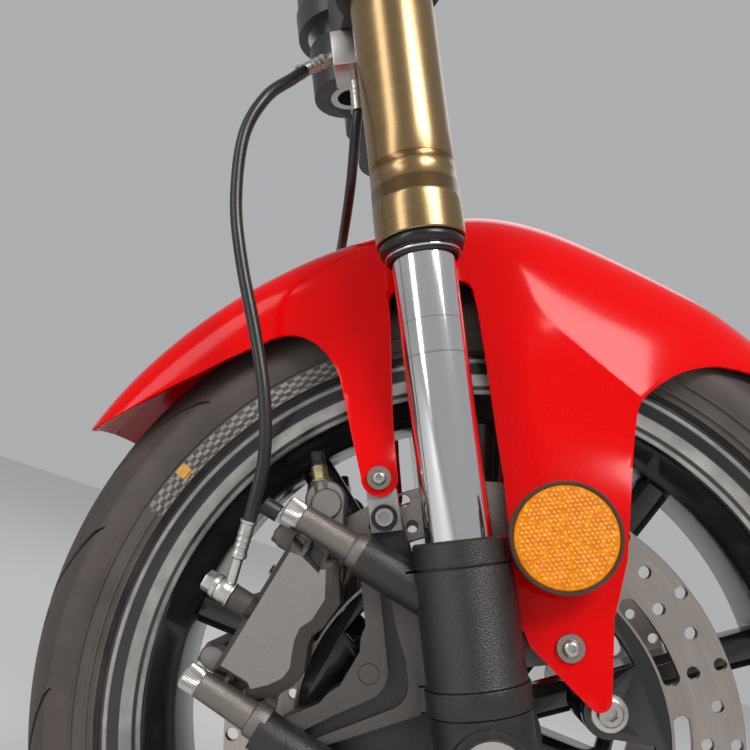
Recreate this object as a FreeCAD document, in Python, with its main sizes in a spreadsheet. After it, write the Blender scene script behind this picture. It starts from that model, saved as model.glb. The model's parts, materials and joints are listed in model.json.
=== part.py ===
"""Front end of a sport bike: wheel, upside-down fork, brakes, mudguard and steering head.

Millimetres and degrees. The row frame has X forward, Y to the left and Z up, with its origin
at the middle of the steering head. Everything is drawn in the fork's own frame, whose origin
is the axle: x forward of the fork legs, y left, z up along them. seat() leans that frame back
by the rake and carries it to its place under the steering head.
"""
import FreeCAD, Part
import math
import os
from types import SimpleNamespace

import Sketcher
from FreeCAD import Placement, Rotation, Vector

SIZES = (
    # steering geometry
    ("rake", 24.5),
    ("clamp_offset", 32),
    ("head_height", 562),
    ("leg_offset", 103),
    # clearances
    ("fit_gap", 0.05),
    ("seat_gap", 0.3),
    ("bearing_gap", 0.04),
    ("pad_gap", 0.4),
    # tyre
    ("tyre_height", 62),
    ("tyre_wall", 8),
    ("tread_drop", 29),
    ("shoulder_half_width", 52.5),
    ("shoulder_bulge", 2.5),
    # wheel
    ("bead_half_width", 44.4),
    ("flange_radius", 231),
    ("flange_lip", 4.6),
    ("flange_height", 15),
    ("rim_well_depth", 17),
    ("rim_well_half_width", 22),
    ("rim_wall", 5.5),
    ("hub_radius", 36),
    ("hub_half_width", 60),
    ("hub_core_radius", 17),
    ("spoke_count", 10),
    ("spoke_phase", 8),
    ("spoke_root_radius", 33),
    ("spoke_root_width", 17),
    ("spoke_root_depth", 40),
    ("spoke_tip_width", 22),
    ("spoke_tip_depth", 24),
    ("boss_radius", 15),
    ("boss_length", 48),
    ("valve_radius", 4),
    ("valve_length", 34),
    ("valve_angle", 206),
    # brake discs
    ("disc_plane", 62.5),
    ("disc_radius", 150),
    ("disc_inner_radius", 108.5),
    ("disc_thickness", 4.5),
    ("slot_radius", 115.5),
    ("slot_width", 10),
    ("slot_half_angle", 12),
    ("slot_count", 10),
    ("slot_phase", 23),
    ("disc_hole_radius", 3.75),
    ("disc_hole_edge", 5),
    ("disc_hole_step", 8.15),
    ("disc_hole_columns", 20),
    ("disc_hole_phase", 2),
    ("carrier_thickness", 6),
    ("carrier_ring_width", 9),
    ("bolt_circle_radius", 75.4),
    ("bolt_phase", 5.8),
    ("bolt_count", 5),
    ("bolt_shank_radius", 4),
    ("bolt_flange_radius", 11),
    ("bolt_flange_thickness", 1.6),
    ("bolt_head_radius", 7.5),
    ("bolt_head_height", 4.5),
    ("bolt_depth", 20),
    # axle
    ("axle_radius", 12.5),
    ("axle_bore_radius", 8.5),
    ("axle_head_radius", 17),
    ("axle_head_length", 6),
    ("bearing_radius", 23.5),
    ("bearing_width", 12),
    ("spacer_radius", 17),
    # fork legs
    ("gold_radius", 25),
    ("gold_bore_radius", 19.5),
    ("bar_seat_length", 34),
    ("bar_groove_depth", 0.6),
    ("bar_groove_width", 2),
    ("collar_radius", 26.2),
    ("collar_bottom", 286),
    ("collar_height", 18),
    ("collar_flare", 45),
    ("chrome_radius", 18.5),
    ("chrome_foot", 62),
    ("chrome_cap_gap", 80),
    ("seal_height", 9),
    ("seal_radius", 24),
    ("cap_radius", 21),
    ("cap_height", 8),
    ("cap_plug_length", 18),
    # fork bottoms
    ("casting_top", 115.3),
    ("casting_radius", 27.2),
    ("casting_collar_radius", 26.2),
    ("casting_collar_height", 13),
    ("casting_band_radius", 28.6),
    ("casting_band_low", 26),
    ("casting_band_height", 12),
    ("casting_foot", -22),
    ("axle_boss_radius", 21),
    ("axle_boss_outside", 28.5),
    ("axle_boss_inside", 28),
    ("arm_radius", 11.8),
    ("web_face", 97),
    ("web_thickness", 16),
    ("web_groove_depth", 5),
    ("web_shelf_depth", 7),
    # calipers, in a frame leaned back so that z runs out along the mounting bolts
    ("caliper_lean", 52.4),
    ("caliper_bolt_high", 56),
    ("caliper_bolt_low", -52),
    ("caliper_bolt_plane", 100),
    ("caliper_mount_radius", 112),
    ("caliper_ear_radius", 8.5),
    ("caliper_back_radius", 150),
    ("caliper_front_radius", 108),
    ("caliper_half_length", 50),
    ("caliper_outer_face", 104),
    ("caliper_inner_face", 36),
    ("caliper_slot_half_width", 9),
    ("bridge_clearance", 5.5),
    ("bridge_thickness", 11),
    ("bridge_width", 12),
    ("caliper_face_height", 6),
    ("shoulder_face", 92),
    ("bleed_plug_radius", 12.5),
    ("bleed_plug_face", 90),
    ("bleed_plug_offset", 15.7),
    ("bleed_plug_depth", 3.2),
    ("pad_thickness", 8),
    ("pad_length", 84),
    ("pad_height", 34),
    ("pad_edge_gap", 3),
    ("mount_bolt_radius", 8),
    ("mount_bolt_head", 10),
    ("banjo_radius", 9),
    ("banjo_height", 11),
    # steering clamps and head
    ("head_length", 130),
    ("head_radius", 32),
    ("head_bore_radius", 20),
    ("head_bearing_radius", 27),
    ("head_bearing_width", 14),
    ("stem_radius", 15),
    ("stem_standing", 6),
    ("lower_clamp_gap", 11),
    ("lower_clamp_thickness", 38),
    ("upper_clamp_thickness", 24),
    ("clamp_ring_wall", 8.5),
    ("clamp_boss_wall", 12),
    ("clamp_slot", 2.5),
    ("stem_nut_radius", 19),
    ("stem_nut_height", 12),
    ("adjuster_gap", 5.5),
    ("adjuster_height", 7.5),
    # mudguard
    ("guard_thickness", 3),
    ("front_pad_face", 102),
    ("rear_pad_face", 98.5),
    ("front_bolt_ahead", 52),
    ("front_bolt_up", 51.3),
    ("rear_bolt_behind", 39.8),
    ("rear_bolt_up", 154.5),
    ("guard_bolt_head_radius", 8),
    ("guard_lug_radius", 11),
    ("guard_lug_length", 18),
    ("bracket_bolt_up", 132.1),
    ("bracket_thickness", 5),
    ("bracket_lug_thickness", 8),
    ("guard_bolt_head_height", 4),
    # reflectors
    ("reflector_radius", 30),
    ("reflector_thickness", 8),
    ("reflector_face", 121),
    ("reflector_ahead", 55),
    ("reflector_up", 110),
    ("reflector_stem_radius", 4),
    # brake hoses
    ("hose_radius", 4.8),
    ("union_length", 26),
    ("union_height", 24),
    ("union_behind", 40),
    ("union_side", 76),
    ("union_port_radius", 5),
    ("union_port_depth", 12),
)

doc = FreeCAD.newDocument("front_end")
sheet = doc.addObject("Spreadsheet::Sheet", "dims")
for line, (alias, amount) in enumerate(SIZES, start=1):
    sheet.set(f"A{line}", alias)
    sheet.set(f"B{line}", str(amount))
    sheet.setAlias(f"B{line}", alias)
doc.recompute()
size = SimpleNamespace(**{alias: float(sheet.get(alias)) for alias, _ in SIZES})

AXLE_AHEAD = "dims.clamp_offset * cos(dims.rake) + dims.head_height * sin(dims.rake)"
AXLE_HEIGHT = "dims.clamp_offset * sin(dims.rake) - dims.head_height * cos(dims.rake)"
STEM_BEHIND = "-dims.clamp_offset"
TYRE_RADIUS = "(dims.flange_radius + dims.tyre_height)"
BEAD_SEAT = "(dims.flange_radius - dims.flange_height)"
RIM_WELL = f"({BEAD_SEAT} - dims.rim_well_depth)"
LOWER_CLAMP_LOW = ("(dims.head_height - dims.head_length / 2 - dims.lower_clamp_gap"
                   " - dims.lower_clamp_thickness)")
UPPER_CLAMP_LOW = "(dims.head_height + dims.head_length / 2 + dims.adjuster_gap + dims.adjuster_height)"
UPPER_CLAMP_TOP = f"({UPPER_CLAMP_LOW} + dims.upper_clamp_thickness)"
GOLD_TOP = f"({UPPER_CLAMP_TOP} + dims.bar_seat_length)"
BRACKET_FACE = "(dims.rear_pad_face - dims.guard_thickness - dims.seat_gap)"
RIGHT, LEFT = "-", "+"
SUBPARTS = []


def value(formula):
    """What a sheet formula comes to."""
    return float(sheet.evalExpression(str(formula).replace("dims.", "")))


def seat(piece, side="0", turn="0"):
    """Finish a sub-part: lean it back by the rake and carry it to the axle."""
    piece.Placement = Placement(Vector(), Rotation(Vector(0, -1, 0), 1))
    piece.setExpression("Placement.Base.x", AXLE_AHEAD)
    piece.setExpression("Placement.Base.y", side)
    piece.setExpression("Placement.Base.z", AXLE_HEIGHT)
    piece.setExpression("Placement.Rotation.Angle", f"dims.rake + {turn}")
    piece.Label = piece.Name
    SUBPARTS.append(piece)
    return piece


def place(piece, x="0", y="0", z="0", rotation=None):
    """Put a building block at formulas for its place, in the frame of its sub-part."""
    piece.Placement = Placement(Vector(), rotation or Rotation())
    for axis, formula in (("x", x), ("y", y), ("z", z)):
        piece.setExpression(f"Placement.Base.{axis}", str(formula))
    return piece


ALONG_Y = Rotation(Vector(1, 0, 0), -90)
ALONG_X = Rotation(Vector(0, 1, 0), 90)


def rod(name, radius, length, x="0", y="0", z="0", rotation=None):
    """Round bar that starts at x, y, z and runs up, or along its rotation."""
    bar = doc.addObject("Part::Cylinder", name)
    bar.setExpression("Radius", radius)
    bar.setExpression("Height", length)
    return place(bar, x, y, z, rotation)


def block(name, length, width, height, x, y, z, rotation=None):
    """Box that grows from its low corner."""
    box = doc.addObject("Part::Box", name)
    box.setExpression("Length", length)
    box.setExpression("Width", width)
    box.setExpression("Height", height)
    return place(box, x, y, z, rotation)


def fuse(name, *pieces):
    joined = doc.addObject("Part::MultiFuse", name)
    joined.Shapes = list(pieces)
    joined.Refine = True
    return joined


def cut(name, body, tool):
    result = doc.addObject("Part::Cut", name)
    result.Base, result.Tool = body, tool
    result.Refine = True
    return result


def mirrored(name, source):
    """The left-hand copy of a right-hand sub-part."""
    copy = doc.addObject("Part::Mirroring", name)
    copy.Source = source
    copy.Normal = Vector(0, 1, 0)
    copy.Label = name
    SUBPARTS.append(copy)
    return copy


def draw(sketch, corners):
    """Closed outline of a sketch. Each corner is (across, up) or (across, up, bend).

    A bend makes the run that leaves the corner an arc of that radius, turning left when it is
    positive and right when it is negative.
    """
    count = len(corners)
    points = [Vector(value(corner[0]), value(corner[1]), 0) for corner in corners]
    ends = []
    for index, corner in enumerate(corners):
        start, finish = points[index], points[(index + 1) % count]
        if len(corner) == 2:
            sketch.addGeometry(Part.LineSegment(start, finish), False)
            ends.append((1, 2))
            continue
        radius = value(corner[2])
        chord = finish - start
        rise = math.sqrt(max(radius ** 2 - (chord.Length / 2) ** 2, 0))
        normal = Vector(-chord.y, chord.x, 0).normalize()
        centre = (start + finish) * 0.5 + normal * math.copysign(rise, radius)
        angles = [math.atan2(p.y - centre.y, p.x - centre.x) for p in (start, finish)]
        ends.append((1, 2) if radius > 0 else (2, 1))
        first, last = angles if radius > 0 else reversed(angles)
        circle = Part.Circle(centre, Vector(0, 0, 1), abs(radius))
        sketch.addGeometry(Part.ArcOfCircle(circle, first, last), False)
    for index in range(count):
        after = (index + 1) % count
        sketch.addConstraint(Sketcher.Constraint("Coincident", index, ends[index][1], after, ends[after][0]))
    for index, corner in enumerate(corners):
        for kind, formula, amount in (("DistanceX", corner[0], points[index].x),
                                      ("DistanceY", corner[1], points[index].y)):
            number = sketch.addConstraint(
                Sketcher.Constraint(kind, -1, 1, index, ends[index][0], amount))
            sketch.setExpression(f"Constraints[{number}]", str(formula))
        if len(corner) == 3:
            number = sketch.addConstraint(Sketcher.Constraint("Radius", index, abs(value(corner[2]))))
            sketch.setExpression(f"Constraints[{number}]", f"abs({corner[2]})")


def body_sketch(body, plane):
    """Sketch on one of a body's own origin planes."""
    sketch = body.newObject("Sketcher::SketchObject", f"{body.Name}_outline")
    face = [item for item in body.Origin.OriginFeatures if item.Role == plane][0]
    sketch.AttachmentSupport = [(face, "")]
    sketch.MapMode = "FlatFace"
    doc.recompute()
    return sketch


def turned(name, corners, plane="XZ_Plane"):
    """Body turned from its half outline of (radius, height) corners.

    On XZ_Plane it is turned about a leg's upright line, on XY_Plane about the axle.
    """
    body = doc.addObject("PartDesign::Body", name)
    sketch = body_sketch(body, plane)
    draw(sketch, corners)
    turn = body.newObject("PartDesign::Revolution", f"{name}_turn")
    turn.Profile = sketch
    turn.ReferenceAxis = (sketch, ["V_Axis"])
    turn.Angle = 360
    sketch.Visibility = False
    return body


def side_outline(name, corners, face, upright=True):
    """Sketch of an outline: side view (x, z) at y = face when upright, else plan view at z = face."""
    sketch = doc.addObject("Sketcher::SketchObject", name)
    if upright:
        place(sketch, y=face, rotation=Rotation(Vector(1, 0, 0), 90))
    else:
        place(sketch, z=face)
    doc.recompute()
    draw(sketch, corners)
    return sketch


def plate(name, corners, face, thickness, upright=True):
    """Flat plate from an outline, which starts at its face and grows towards +y or +z."""
    sketch = side_outline(f"{name}_outline", corners, face, upright)
    solid = doc.addObject("Part::Extrusion", name)
    solid.Base = sketch
    solid.DirMode = "Custom"
    solid.Dir = Vector(0, 1, 0) if upright else Vector(0, 0, 1)
    solid.setExpression("LengthFwd", thickness)
    solid.Solid = True
    return solid


def around(name, piece, count, phase):
    """Copies of a piece round the axle, as one shape."""
    doc.recompute()
    copies = [piece.Shape.copy().rotate(Vector(), Vector(0, -1, 0), phase + 360.0 / count * index)
              for index in range(int(count))]
    ring = doc.addObject("Part::Feature", name)
    ring.Shape = Part.makeCompound(copies)
    return ring


# Head

def head_tube():
    """Steering head: a tube with a bearing seat at each end."""
    half = "dims.head_length / 2"
    seat_depth = f"({half} - dims.head_bearing_width)"
    tube = turned("head_tube", (
        ("dims.head_bore_radius", f"-{seat_depth}"),
        ("dims.head_bearing_radius + dims.fit_gap", f"-{seat_depth}"),
        ("dims.head_bearing_radius + dims.fit_gap", f"-{half}"),
        ("dims.head_radius + 2", f"-{half}"),
        ("dims.head_radius + 2", f"-{seat_depth} + 4"),
        ("dims.head_radius", f"-{seat_depth} + 8"),
        ("dims.head_radius", f"{seat_depth} - 8"),
        ("dims.head_radius + 2", f"{seat_depth} - 4"),
        ("dims.head_radius + 2", half),
        ("dims.head_bearing_radius + dims.fit_gap", half),
        ("dims.head_bearing_radius + dims.fit_gap", seat_depth),
        ("dims.head_bore_radius", seat_depth),
    ))
    seat_head(tube)


def seat_head(piece):
    """Head pieces are drawn about the steering axis, from the middle of the head."""
    piece.Placement = Placement(Vector(), Rotation(Vector(0, -1, 0), 1))
    piece.setExpression("Placement.Rotation.Angle", "dims.rake")
    piece.Label = piece.Name
    SUBPARTS.append(piece)


def steering_bearings():
    """One ring in each end of the head."""
    rings = []
    for end, low in (("low", "-dims.head_length / 2"),
                     ("high", "dims.head_length / 2 - dims.head_bearing_width + dims.fit_gap")):
        outer = rod(f"head_bearing_{end}", "dims.head_bearing_radius",
                    "dims.head_bearing_width - dims.fit_gap", z=low)
        bore = rod(f"head_bearing_bore_{end}", "dims.stem_radius + dims.bearing_gap",
                   "dims.head_bearing_width", z=low)
        rings.append(cut(f"head_bearing_ring_{end}", outer, bore))
    seat_head(fuse("steering_bearings", *rings))


# Steering clamps

def clamp(name, low, thickness):
    """Steering clamp: two split rings on the legs, joined to a boss on the stem."""
    ring = "dims.gold_radius + dims.clamp_ring_wall"
    boss = "dims.stem_radius + dims.clamp_boss_wall"
    web = plate(f"{name}_web", (
        (f"{STEM_BEHIND} + {boss}", "0"),
        ("8", "dims.leg_offset / 2"),
        ("dims.gold_radius - 4", "dims.leg_offset"),
        ("-dims.gold_radius", "dims.leg_offset"),
        (f"{STEM_BEHIND} - 8", "dims.leg_offset / 2"),
        (f"{STEM_BEHIND} - {boss}", "0"),
        (f"{STEM_BEHIND} - 8", "-dims.leg_offset / 2"),
        ("-dims.gold_radius", "-dims.leg_offset"),
        ("dims.gold_radius - 4", "-dims.leg_offset"),
        ("8", "-dims.leg_offset / 2"),
    ), low, thickness, upright=False)
    solids, holes = [web, rod(f"{name}_boss", boss, thickness, x=STEM_BEHIND, z=low)], []
    for side, sign in (("right", RIGHT), ("left", LEFT)):
        centre = f"{sign}dims.leg_offset"
        solids.append(rod(f"{name}_ring_{side}", ring, thickness, y=centre, z=low))
        holes.append(rod(f"{name}_bore_{side}", "dims.gold_radius + dims.fit_gap", thickness,
                         y=centre, z=low))
        holes.append(block(f"{name}_slot_{side}", "dims.gold_radius * 2", "dims.clamp_slot",
                           thickness, "0", f"{centre} - dims.clamp_slot / 2", low))
    holes.append(rod(f"{name}_stem_bore", "dims.stem_radius + dims.fit_gap", thickness,
                     x=STEM_BEHIND, z=low))
    seat(cut(name, fuse(f"{name}_solid", *solids), fuse(f"{name}_holes", *holes)))


def steering_stem():
    length = f"{UPPER_CLAMP_TOP} + dims.stem_standing - {LOWER_CLAMP_LOW}"
    bore = rod("steering_stem_bore", "dims.stem_radius - 5", length, x=STEM_BEHIND, z=LOWER_CLAMP_LOW)
    bar = rod("steering_stem_solid", "dims.stem_radius", length, x=STEM_BEHIND, z=LOWER_CLAMP_LOW)
    seat(cut("steering_stem", bar, bore))


def stem_nut():
    """Top nut on the upper clamp, and the adjuster ring between that clamp and the head."""
    ring_low = "dims.head_height + dims.head_length / 2 + dims.adjuster_gap"
    hexagon = doc.addObject("Part::Prism", "stem_nut_hexagon")
    hexagon.Polygon = 6
    hexagon.setExpression("Circumradius", "dims.stem_nut_radius")
    hexagon.setExpression("Height", "dims.stem_nut_height")
    place(hexagon, STEM_BEHIND, "0", UPPER_CLAMP_TOP)
    ring = rod("adjuster_ring", "dims.stem_nut_radius", "dims.adjuster_height", x=STEM_BEHIND, z=ring_low)
    bore = rod("stem_nut_bore", "dims.stem_radius + dims.fit_gap",
               f"{UPPER_CLAMP_TOP} + dims.stem_nut_height", x=STEM_BEHIND)
    seat(cut("stem_nut", fuse("stem_nut_solid", hexagon, ring), bore))


# Fork legs

def fork_tube():
    """Gold outer tube of the right leg: collar at the bottom, groove under the handlebar seat."""
    low, collar = "dims.collar_bottom", "dims.collar_bottom + dims.collar_height"
    groove = f"{UPPER_CLAMP_TOP} + dims.seat_gap"
    tube = turned("fork_tube_right", (
        ("dims.seal_radius + dims.fit_gap", low),
        ("dims.collar_radius - 1", low),
        ("dims.collar_radius", f"{low} + 1"),
        ("dims.collar_radius", collar),
        ("dims.gold_radius", f"{collar} + dims.collar_flare"),
        ("dims.gold_radius", f"{groove}"),
        ("dims.gold_radius - dims.bar_groove_depth", f"{groove}"),
        ("dims.gold_radius - dims.bar_groove_depth", f"{groove} + dims.bar_groove_width"),
        ("dims.gold_radius", f"{groove} + dims.bar_groove_width"),
        ("dims.gold_radius", f"{GOLD_TOP} - 1"),
        ("dims.gold_radius - 1", GOLD_TOP),
        ("dims.gold_bore_radius", GOLD_TOP),
        ("dims.gold_bore_radius", f"{collar} - 10"),
        ("dims.seal_radius + dims.fit_gap", f"{collar} - 10"),
    ))
    seat(tube, side="-dims.leg_offset")
    mirrored("fork_tube_left", tube)


def leg_pair(name, corners):
    """Turned piece on both legs, as one sub-part."""
    right = turned(f"{name}_right", corners)
    place(right, y="-dims.leg_offset")
    left = turned(f"{name}_left", corners)
    place(left, y="dims.leg_offset")
    seat(fuse(name, right, left))


def dust_seals():
    """Rubber seal with its lip, which closes the foot of each gold tube."""
    inside = "dims.chrome_radius + dims.fit_gap"
    leg_pair("dust_seals", (
        (inside, "dims.collar_bottom - dims.seal_height"),
        ("dims.chrome_radius + 2", "dims.collar_bottom - dims.seal_height"),
        ("dims.seal_radius - 1", "dims.collar_bottom - dims.seal_height + 3"),
        ("dims.seal_radius", "dims.collar_bottom - dims.seal_height + 5"),
        ("dims.seal_radius", "dims.collar_bottom + dims.collar_height - 12"),
        (inside, "dims.collar_bottom + dims.collar_height - 12"),
    ))


def fork_caps():
    """Cap screwed into the top of each gold tube."""
    leg_pair("fork_caps", (
        ("0", f"{GOLD_TOP} - dims.cap_plug_length"),
        ("dims.gold_bore_radius - dims.fit_gap", f"{GOLD_TOP} - dims.cap_plug_length"),
        ("dims.gold_bore_radius - dims.fit_gap", GOLD_TOP),
        ("dims.cap_radius", GOLD_TOP),
        ("dims.cap_radius", f"{GOLD_TOP} + dims.cap_height - 1"),
        ("dims.cap_radius - 1", f"{GOLD_TOP} + dims.cap_height"),
        ("0", f"{GOLD_TOP} + dims.cap_height"),
    ))


def chrome_tube():
    top = f"{GOLD_TOP} - dims.cap_plug_length - dims.chrome_cap_gap"
    tube = turned("chrome_tube_right", (
        ("dims.chrome_radius - 3", "dims.chrome_foot + 1"),
        ("dims.chrome_radius", "dims.chrome_foot + 1"),
        ("dims.chrome_radius", top),
        ("dims.chrome_radius - 3", top),
    ))
    seat(tube, side="-dims.leg_offset")
    mirrored("chrome_tube_left", tube)


def caliper_arm(name, offset, start):
    """Arm of the fork bottom that carries one caliper bolt, along the bolt's own line."""
    lean = math.radians(size.caliper_lean)
    arm = rod(name, "dims.arm_radius", f"dims.caliper_mount_radius - {start}",
              rotation=Rotation(Vector(0, -1, 0), size.caliper_lean))
    arm.setExpression("Placement.Rotation.Angle", "dims.caliper_lean")
    arm.setExpression("Placement.Base.x", f"{offset} * cos(dims.caliper_lean) - {start} * sin(dims.caliper_lean)")
    arm.setExpression("Placement.Base.y", "-dims.caliper_bolt_plane")
    arm.setExpression("Placement.Base.z", f"{offset} * sin(dims.caliper_lean) + {start} * cos(dims.caliper_lean)")
    return arm


def fork_bottom():
    """Cast foot of the right leg: tube socket, axle boss, caliper arms, web and mudguard lug."""
    socket = turned("casting_socket", (
        ("0", "dims.casting_foot"),
        ("dims.casting_radius - 6", "dims.casting_foot"),
        ("dims.casting_radius", "dims.casting_foot + 8"),
        ("dims.casting_radius", "dims.casting_band_low - 3"),
        ("dims.casting_band_radius", "dims.casting_band_low"),
        ("dims.casting_band_radius", "dims.casting_band_low + dims.casting_band_height"),
        ("dims.casting_radius", "dims.casting_band_low + dims.casting_band_height + 3"),
        ("dims.casting_radius", "dims.casting_top - dims.casting_collar_height - 1"),
        ("dims.casting_collar_radius", "dims.casting_top - dims.casting_collar_height"),
        ("dims.casting_collar_radius", "dims.casting_top - 1.5"),
        ("dims.casting_collar_radius - 1.5", "dims.casting_top"),
        ("0", "dims.casting_top"),
    ))
    place(socket, y="-dims.leg_offset")
    boss = rod("axle_boss", "dims.axle_boss_radius", "dims.axle_boss_outside + dims.axle_boss_inside",
               y="-dims.leg_offset - dims.axle_boss_outside", rotation=ALONG_Y)
    web = plate("casting_web", (
        ("-20", "78"), ("-41", "93"), ("-44", "104"), ("-56.3", "104"), ("-56.5", "74", "22"),
        ("-61", "61"), ("-74", "44", "30"), ("-86", "36"), ("-109", "29.4"), ("-106", "8"),
        ("-84", "13.8"), ("-28", "25"), ("-20", "26"),
    ), "-dims.web_face", "dims.web_thickness")
    shelf = plate("casting_shelf", (
        ("-20", "30"), ("-90", "14"), ("-112", "14"), ("-70", "-16"), ("-20", "-20"),
    ), "-dims.web_face + dims.web_shelf_depth", "dims.web_thickness - dims.web_shelf_depth")
    groove = plate("casting_groove", (
        ("-41.4", "92"), ("-46.4", "92"), ("-46.9", "52", "-17"), ("-57", "35.5"), ("-78.3", "29"),
        ("-99.4", "21.6"), ("-100", "15.4"), ("-59.5", "25.5"), ("-47", "28.8", "14"), ("-36.6", "44"),
        ("-36.5", "53.8"), ("-39.3", "67.6"),
    ), "-dims.web_face", "dims.web_groove_depth")
    lug_face = "(dims.front_pad_face - dims.guard_thickness - dims.seat_gap)"
    lug = rod("guard_lug", "dims.guard_lug_radius", "dims.guard_lug_length", "dims.front_bolt_ahead",
              f"-{lug_face}", "dims.front_bolt_up", ALONG_Y)
    lug_arm = block("guard_lug_arm", "dims.front_bolt_ahead", "dims.guard_lug_length - 4",
                    "dims.guard_lug_radius * 1.5", "0", f"2 - {lug_face}",
                    "dims.front_bolt_up - dims.guard_lug_radius * 0.75")
    tab = plate("bracket_lug", (
        ("-50", "104"), ("-48", "dims.bracket_bolt_up"), ("-42", "dims.bracket_bolt_up + 8"),
        ("-34", "dims.bracket_bolt_up + 8"), ("-30", "dims.bracket_bolt_up"), ("-24", "90"),
    ), f"-({BRACKET_FACE} - dims.bracket_thickness - dims.seat_gap)", "dims.bracket_lug_thickness")
    solid = fuse("fork_bottom_solid", socket, boss, web, shelf, lug, lug_arm, tab,
                 caliper_arm("caliper_arm_high", "dims.caliper_bolt_high", "60"),
                 caliper_arm("caliper_arm_low", "dims.caliper_bolt_low", "16"))
    holes = fuse("fork_bottom_holes", groove,
                 rod("leg_socket", "dims.chrome_radius + dims.fit_gap", "dims.casting_top",
                     y="-dims.leg_offset", z="dims.chrome_foot"),
                 rod("axle_hole", "dims.axle_radius + dims.fit_gap", "dims.leg_offset",
                     y="-dims.leg_offset * 1.5", rotation=ALONG_Y))
    seat(cut("fork_bottom_right", solid, holes))
    mirrored("fork_bottom_left", doc.getObject("fork_bottom_right"))


# Axle

def axle():
    """Hollow axle with a flanged head on the right and a nut on the left."""
    end = "dims.leg_offset + dims.axle_boss_outside"
    head = "dims.seat_gap + dims.axle_head_length"
    seat(turned("axle", (
        ("dims.axle_bore_radius", f"-({end}) - ({head})"),
        ("dims.axle_head_radius", f"-({end}) - ({head})"),
        ("dims.axle_head_radius", f"-({end}) - dims.seat_gap"),
        ("dims.axle_radius", f"-({end}) - dims.seat_gap"),
        ("dims.axle_radius", f"{end} + dims.seat_gap"),
        ("dims.axle_head_radius", f"{end} + dims.seat_gap"),
        ("dims.axle_head_radius", f"{end} + ({head})"),
        ("dims.axle_bore_radius", f"{end} + ({head})"),
    ), "XY_Plane"))


def axle_rings(name, radius, bore, start, length):
    """A ring on the axle on each side of the wheel, as one sub-part."""
    rings = []
    for side, low in (("right", f"-({start}) - ({length})"), ("left", start)):
        outer = rod(f"{name}_{side}_outer", radius, length, y=low, rotation=ALONG_Y)
        hole = rod(f"{name}_{side}_hole", bore, length, y=low, rotation=ALONG_Y)
        rings.append(cut(f"{name}_{side}", outer, hole))
    seat(fuse(name, *rings))


def wheel_spacers():
    start = "dims.hub_half_width + dims.seat_gap"
    reach = "dims.leg_offset - dims.axle_boss_inside"
    axle_rings("wheel_spacers", "dims.spacer_radius", "dims.axle_radius + dims.fit_gap",
               start, f"{reach} - ({start})")


def wheel_bearings():
    axle_rings("wheel_bearings", "dims.bearing_radius", "dims.axle_radius + dims.bearing_gap",
               "dims.hub_half_width - dims.bearing_width", "dims.bearing_width")


# Wheel

def tyre():
    """Low, wide road tyre: one wall all round, open at the beads."""
    half, wall = "(dims.shoulder_half_width + dims.shoulder_bulge)", "dims.tyre_wall"
    shoulder_radius = f"({TYRE_RADIUS} - dims.tread_drop)"
    tread_curve = "((dims.shoulder_half_width^2 + dims.tread_drop^2) / (2 * dims.tread_drop))"
    toe = "dims.bead_half_width - dims.seat_gap"
    bead = f"{BEAD_SEAT} + dims.seat_gap"
    lip = "dims.flange_radius + dims.seat_gap"
    inner_half, inner_shoulder = f"(dims.shoulder_half_width - {wall})", f"({shoulder_radius} - {wall} / 2)"
    inner_crown = f"({TYRE_RADIUS} - {wall})"
    seat(turned("tyre", (
        (bead, toe),
        (lip, toe),
        (lip, f"{toe} + 4", "-30"),
        (f"{shoulder_radius} - 10", half, "-25"),
        (shoulder_radius, "dims.shoulder_half_width", f"-{tread_curve}"),
        (shoulder_radius, "-dims.shoulder_half_width", "-25"),
        (f"{shoulder_radius} - 10", f"-{half}", "-30"),
        (lip, f"-({toe}) - 4"),
        (lip, f"-({toe})"),
        (bead, f"-({toe})"),
        (bead, f"-({toe}) + 14"),
        (lip, f"-({toe}) + 7"),
        (f"{lip} + 12", f"-{half} + {wall}"),
        (inner_shoulder, f"-{inner_half}"),
        (inner_crown, f"-{inner_half} * 0.4"),
        (inner_crown, f"{inner_half} * 0.4"),
        (inner_shoulder, inner_half),
        (f"{lip} + 12", f"{half} - {wall}"),
        (lip, f"{toe} - 7"),
        (bead, f"{toe} - 14"),
    ), "XY_Plane"))


def rim_outline():
    """Half outline of the rim barrel, from the left flange to the right one and back."""
    flange, bead, wall = "dims.bead_half_width", BEAD_SEAT, "dims.rim_wall"
    well, well_half = RIM_WELL, "dims.rim_well_half_width"
    outside = [("dims.flange_radius", f"{flange} + dims.flange_lip"), ("dims.flange_radius", flange),
               (bead, flange), (f"{bead} - 1.5", f"{well_half} + 10"), (well, well_half)]
    inside = [(f"{well} - {wall}", f"{well_half} + 1"), (f"{bead} - {wall} - 3", f"{well_half} + 13"),
              (f"{bead} - {wall} - 3", f"{flange} - 1"), (f"{bead} + 4", f"{flange} + 3.5")]
    right_outside = [(radius, f"-({side})") for radius, side in reversed(outside)]
    right_inside = [(radius, f"-({side})") for radius, side in reversed(inside)]
    return outside + right_outside + right_inside + inside


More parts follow.
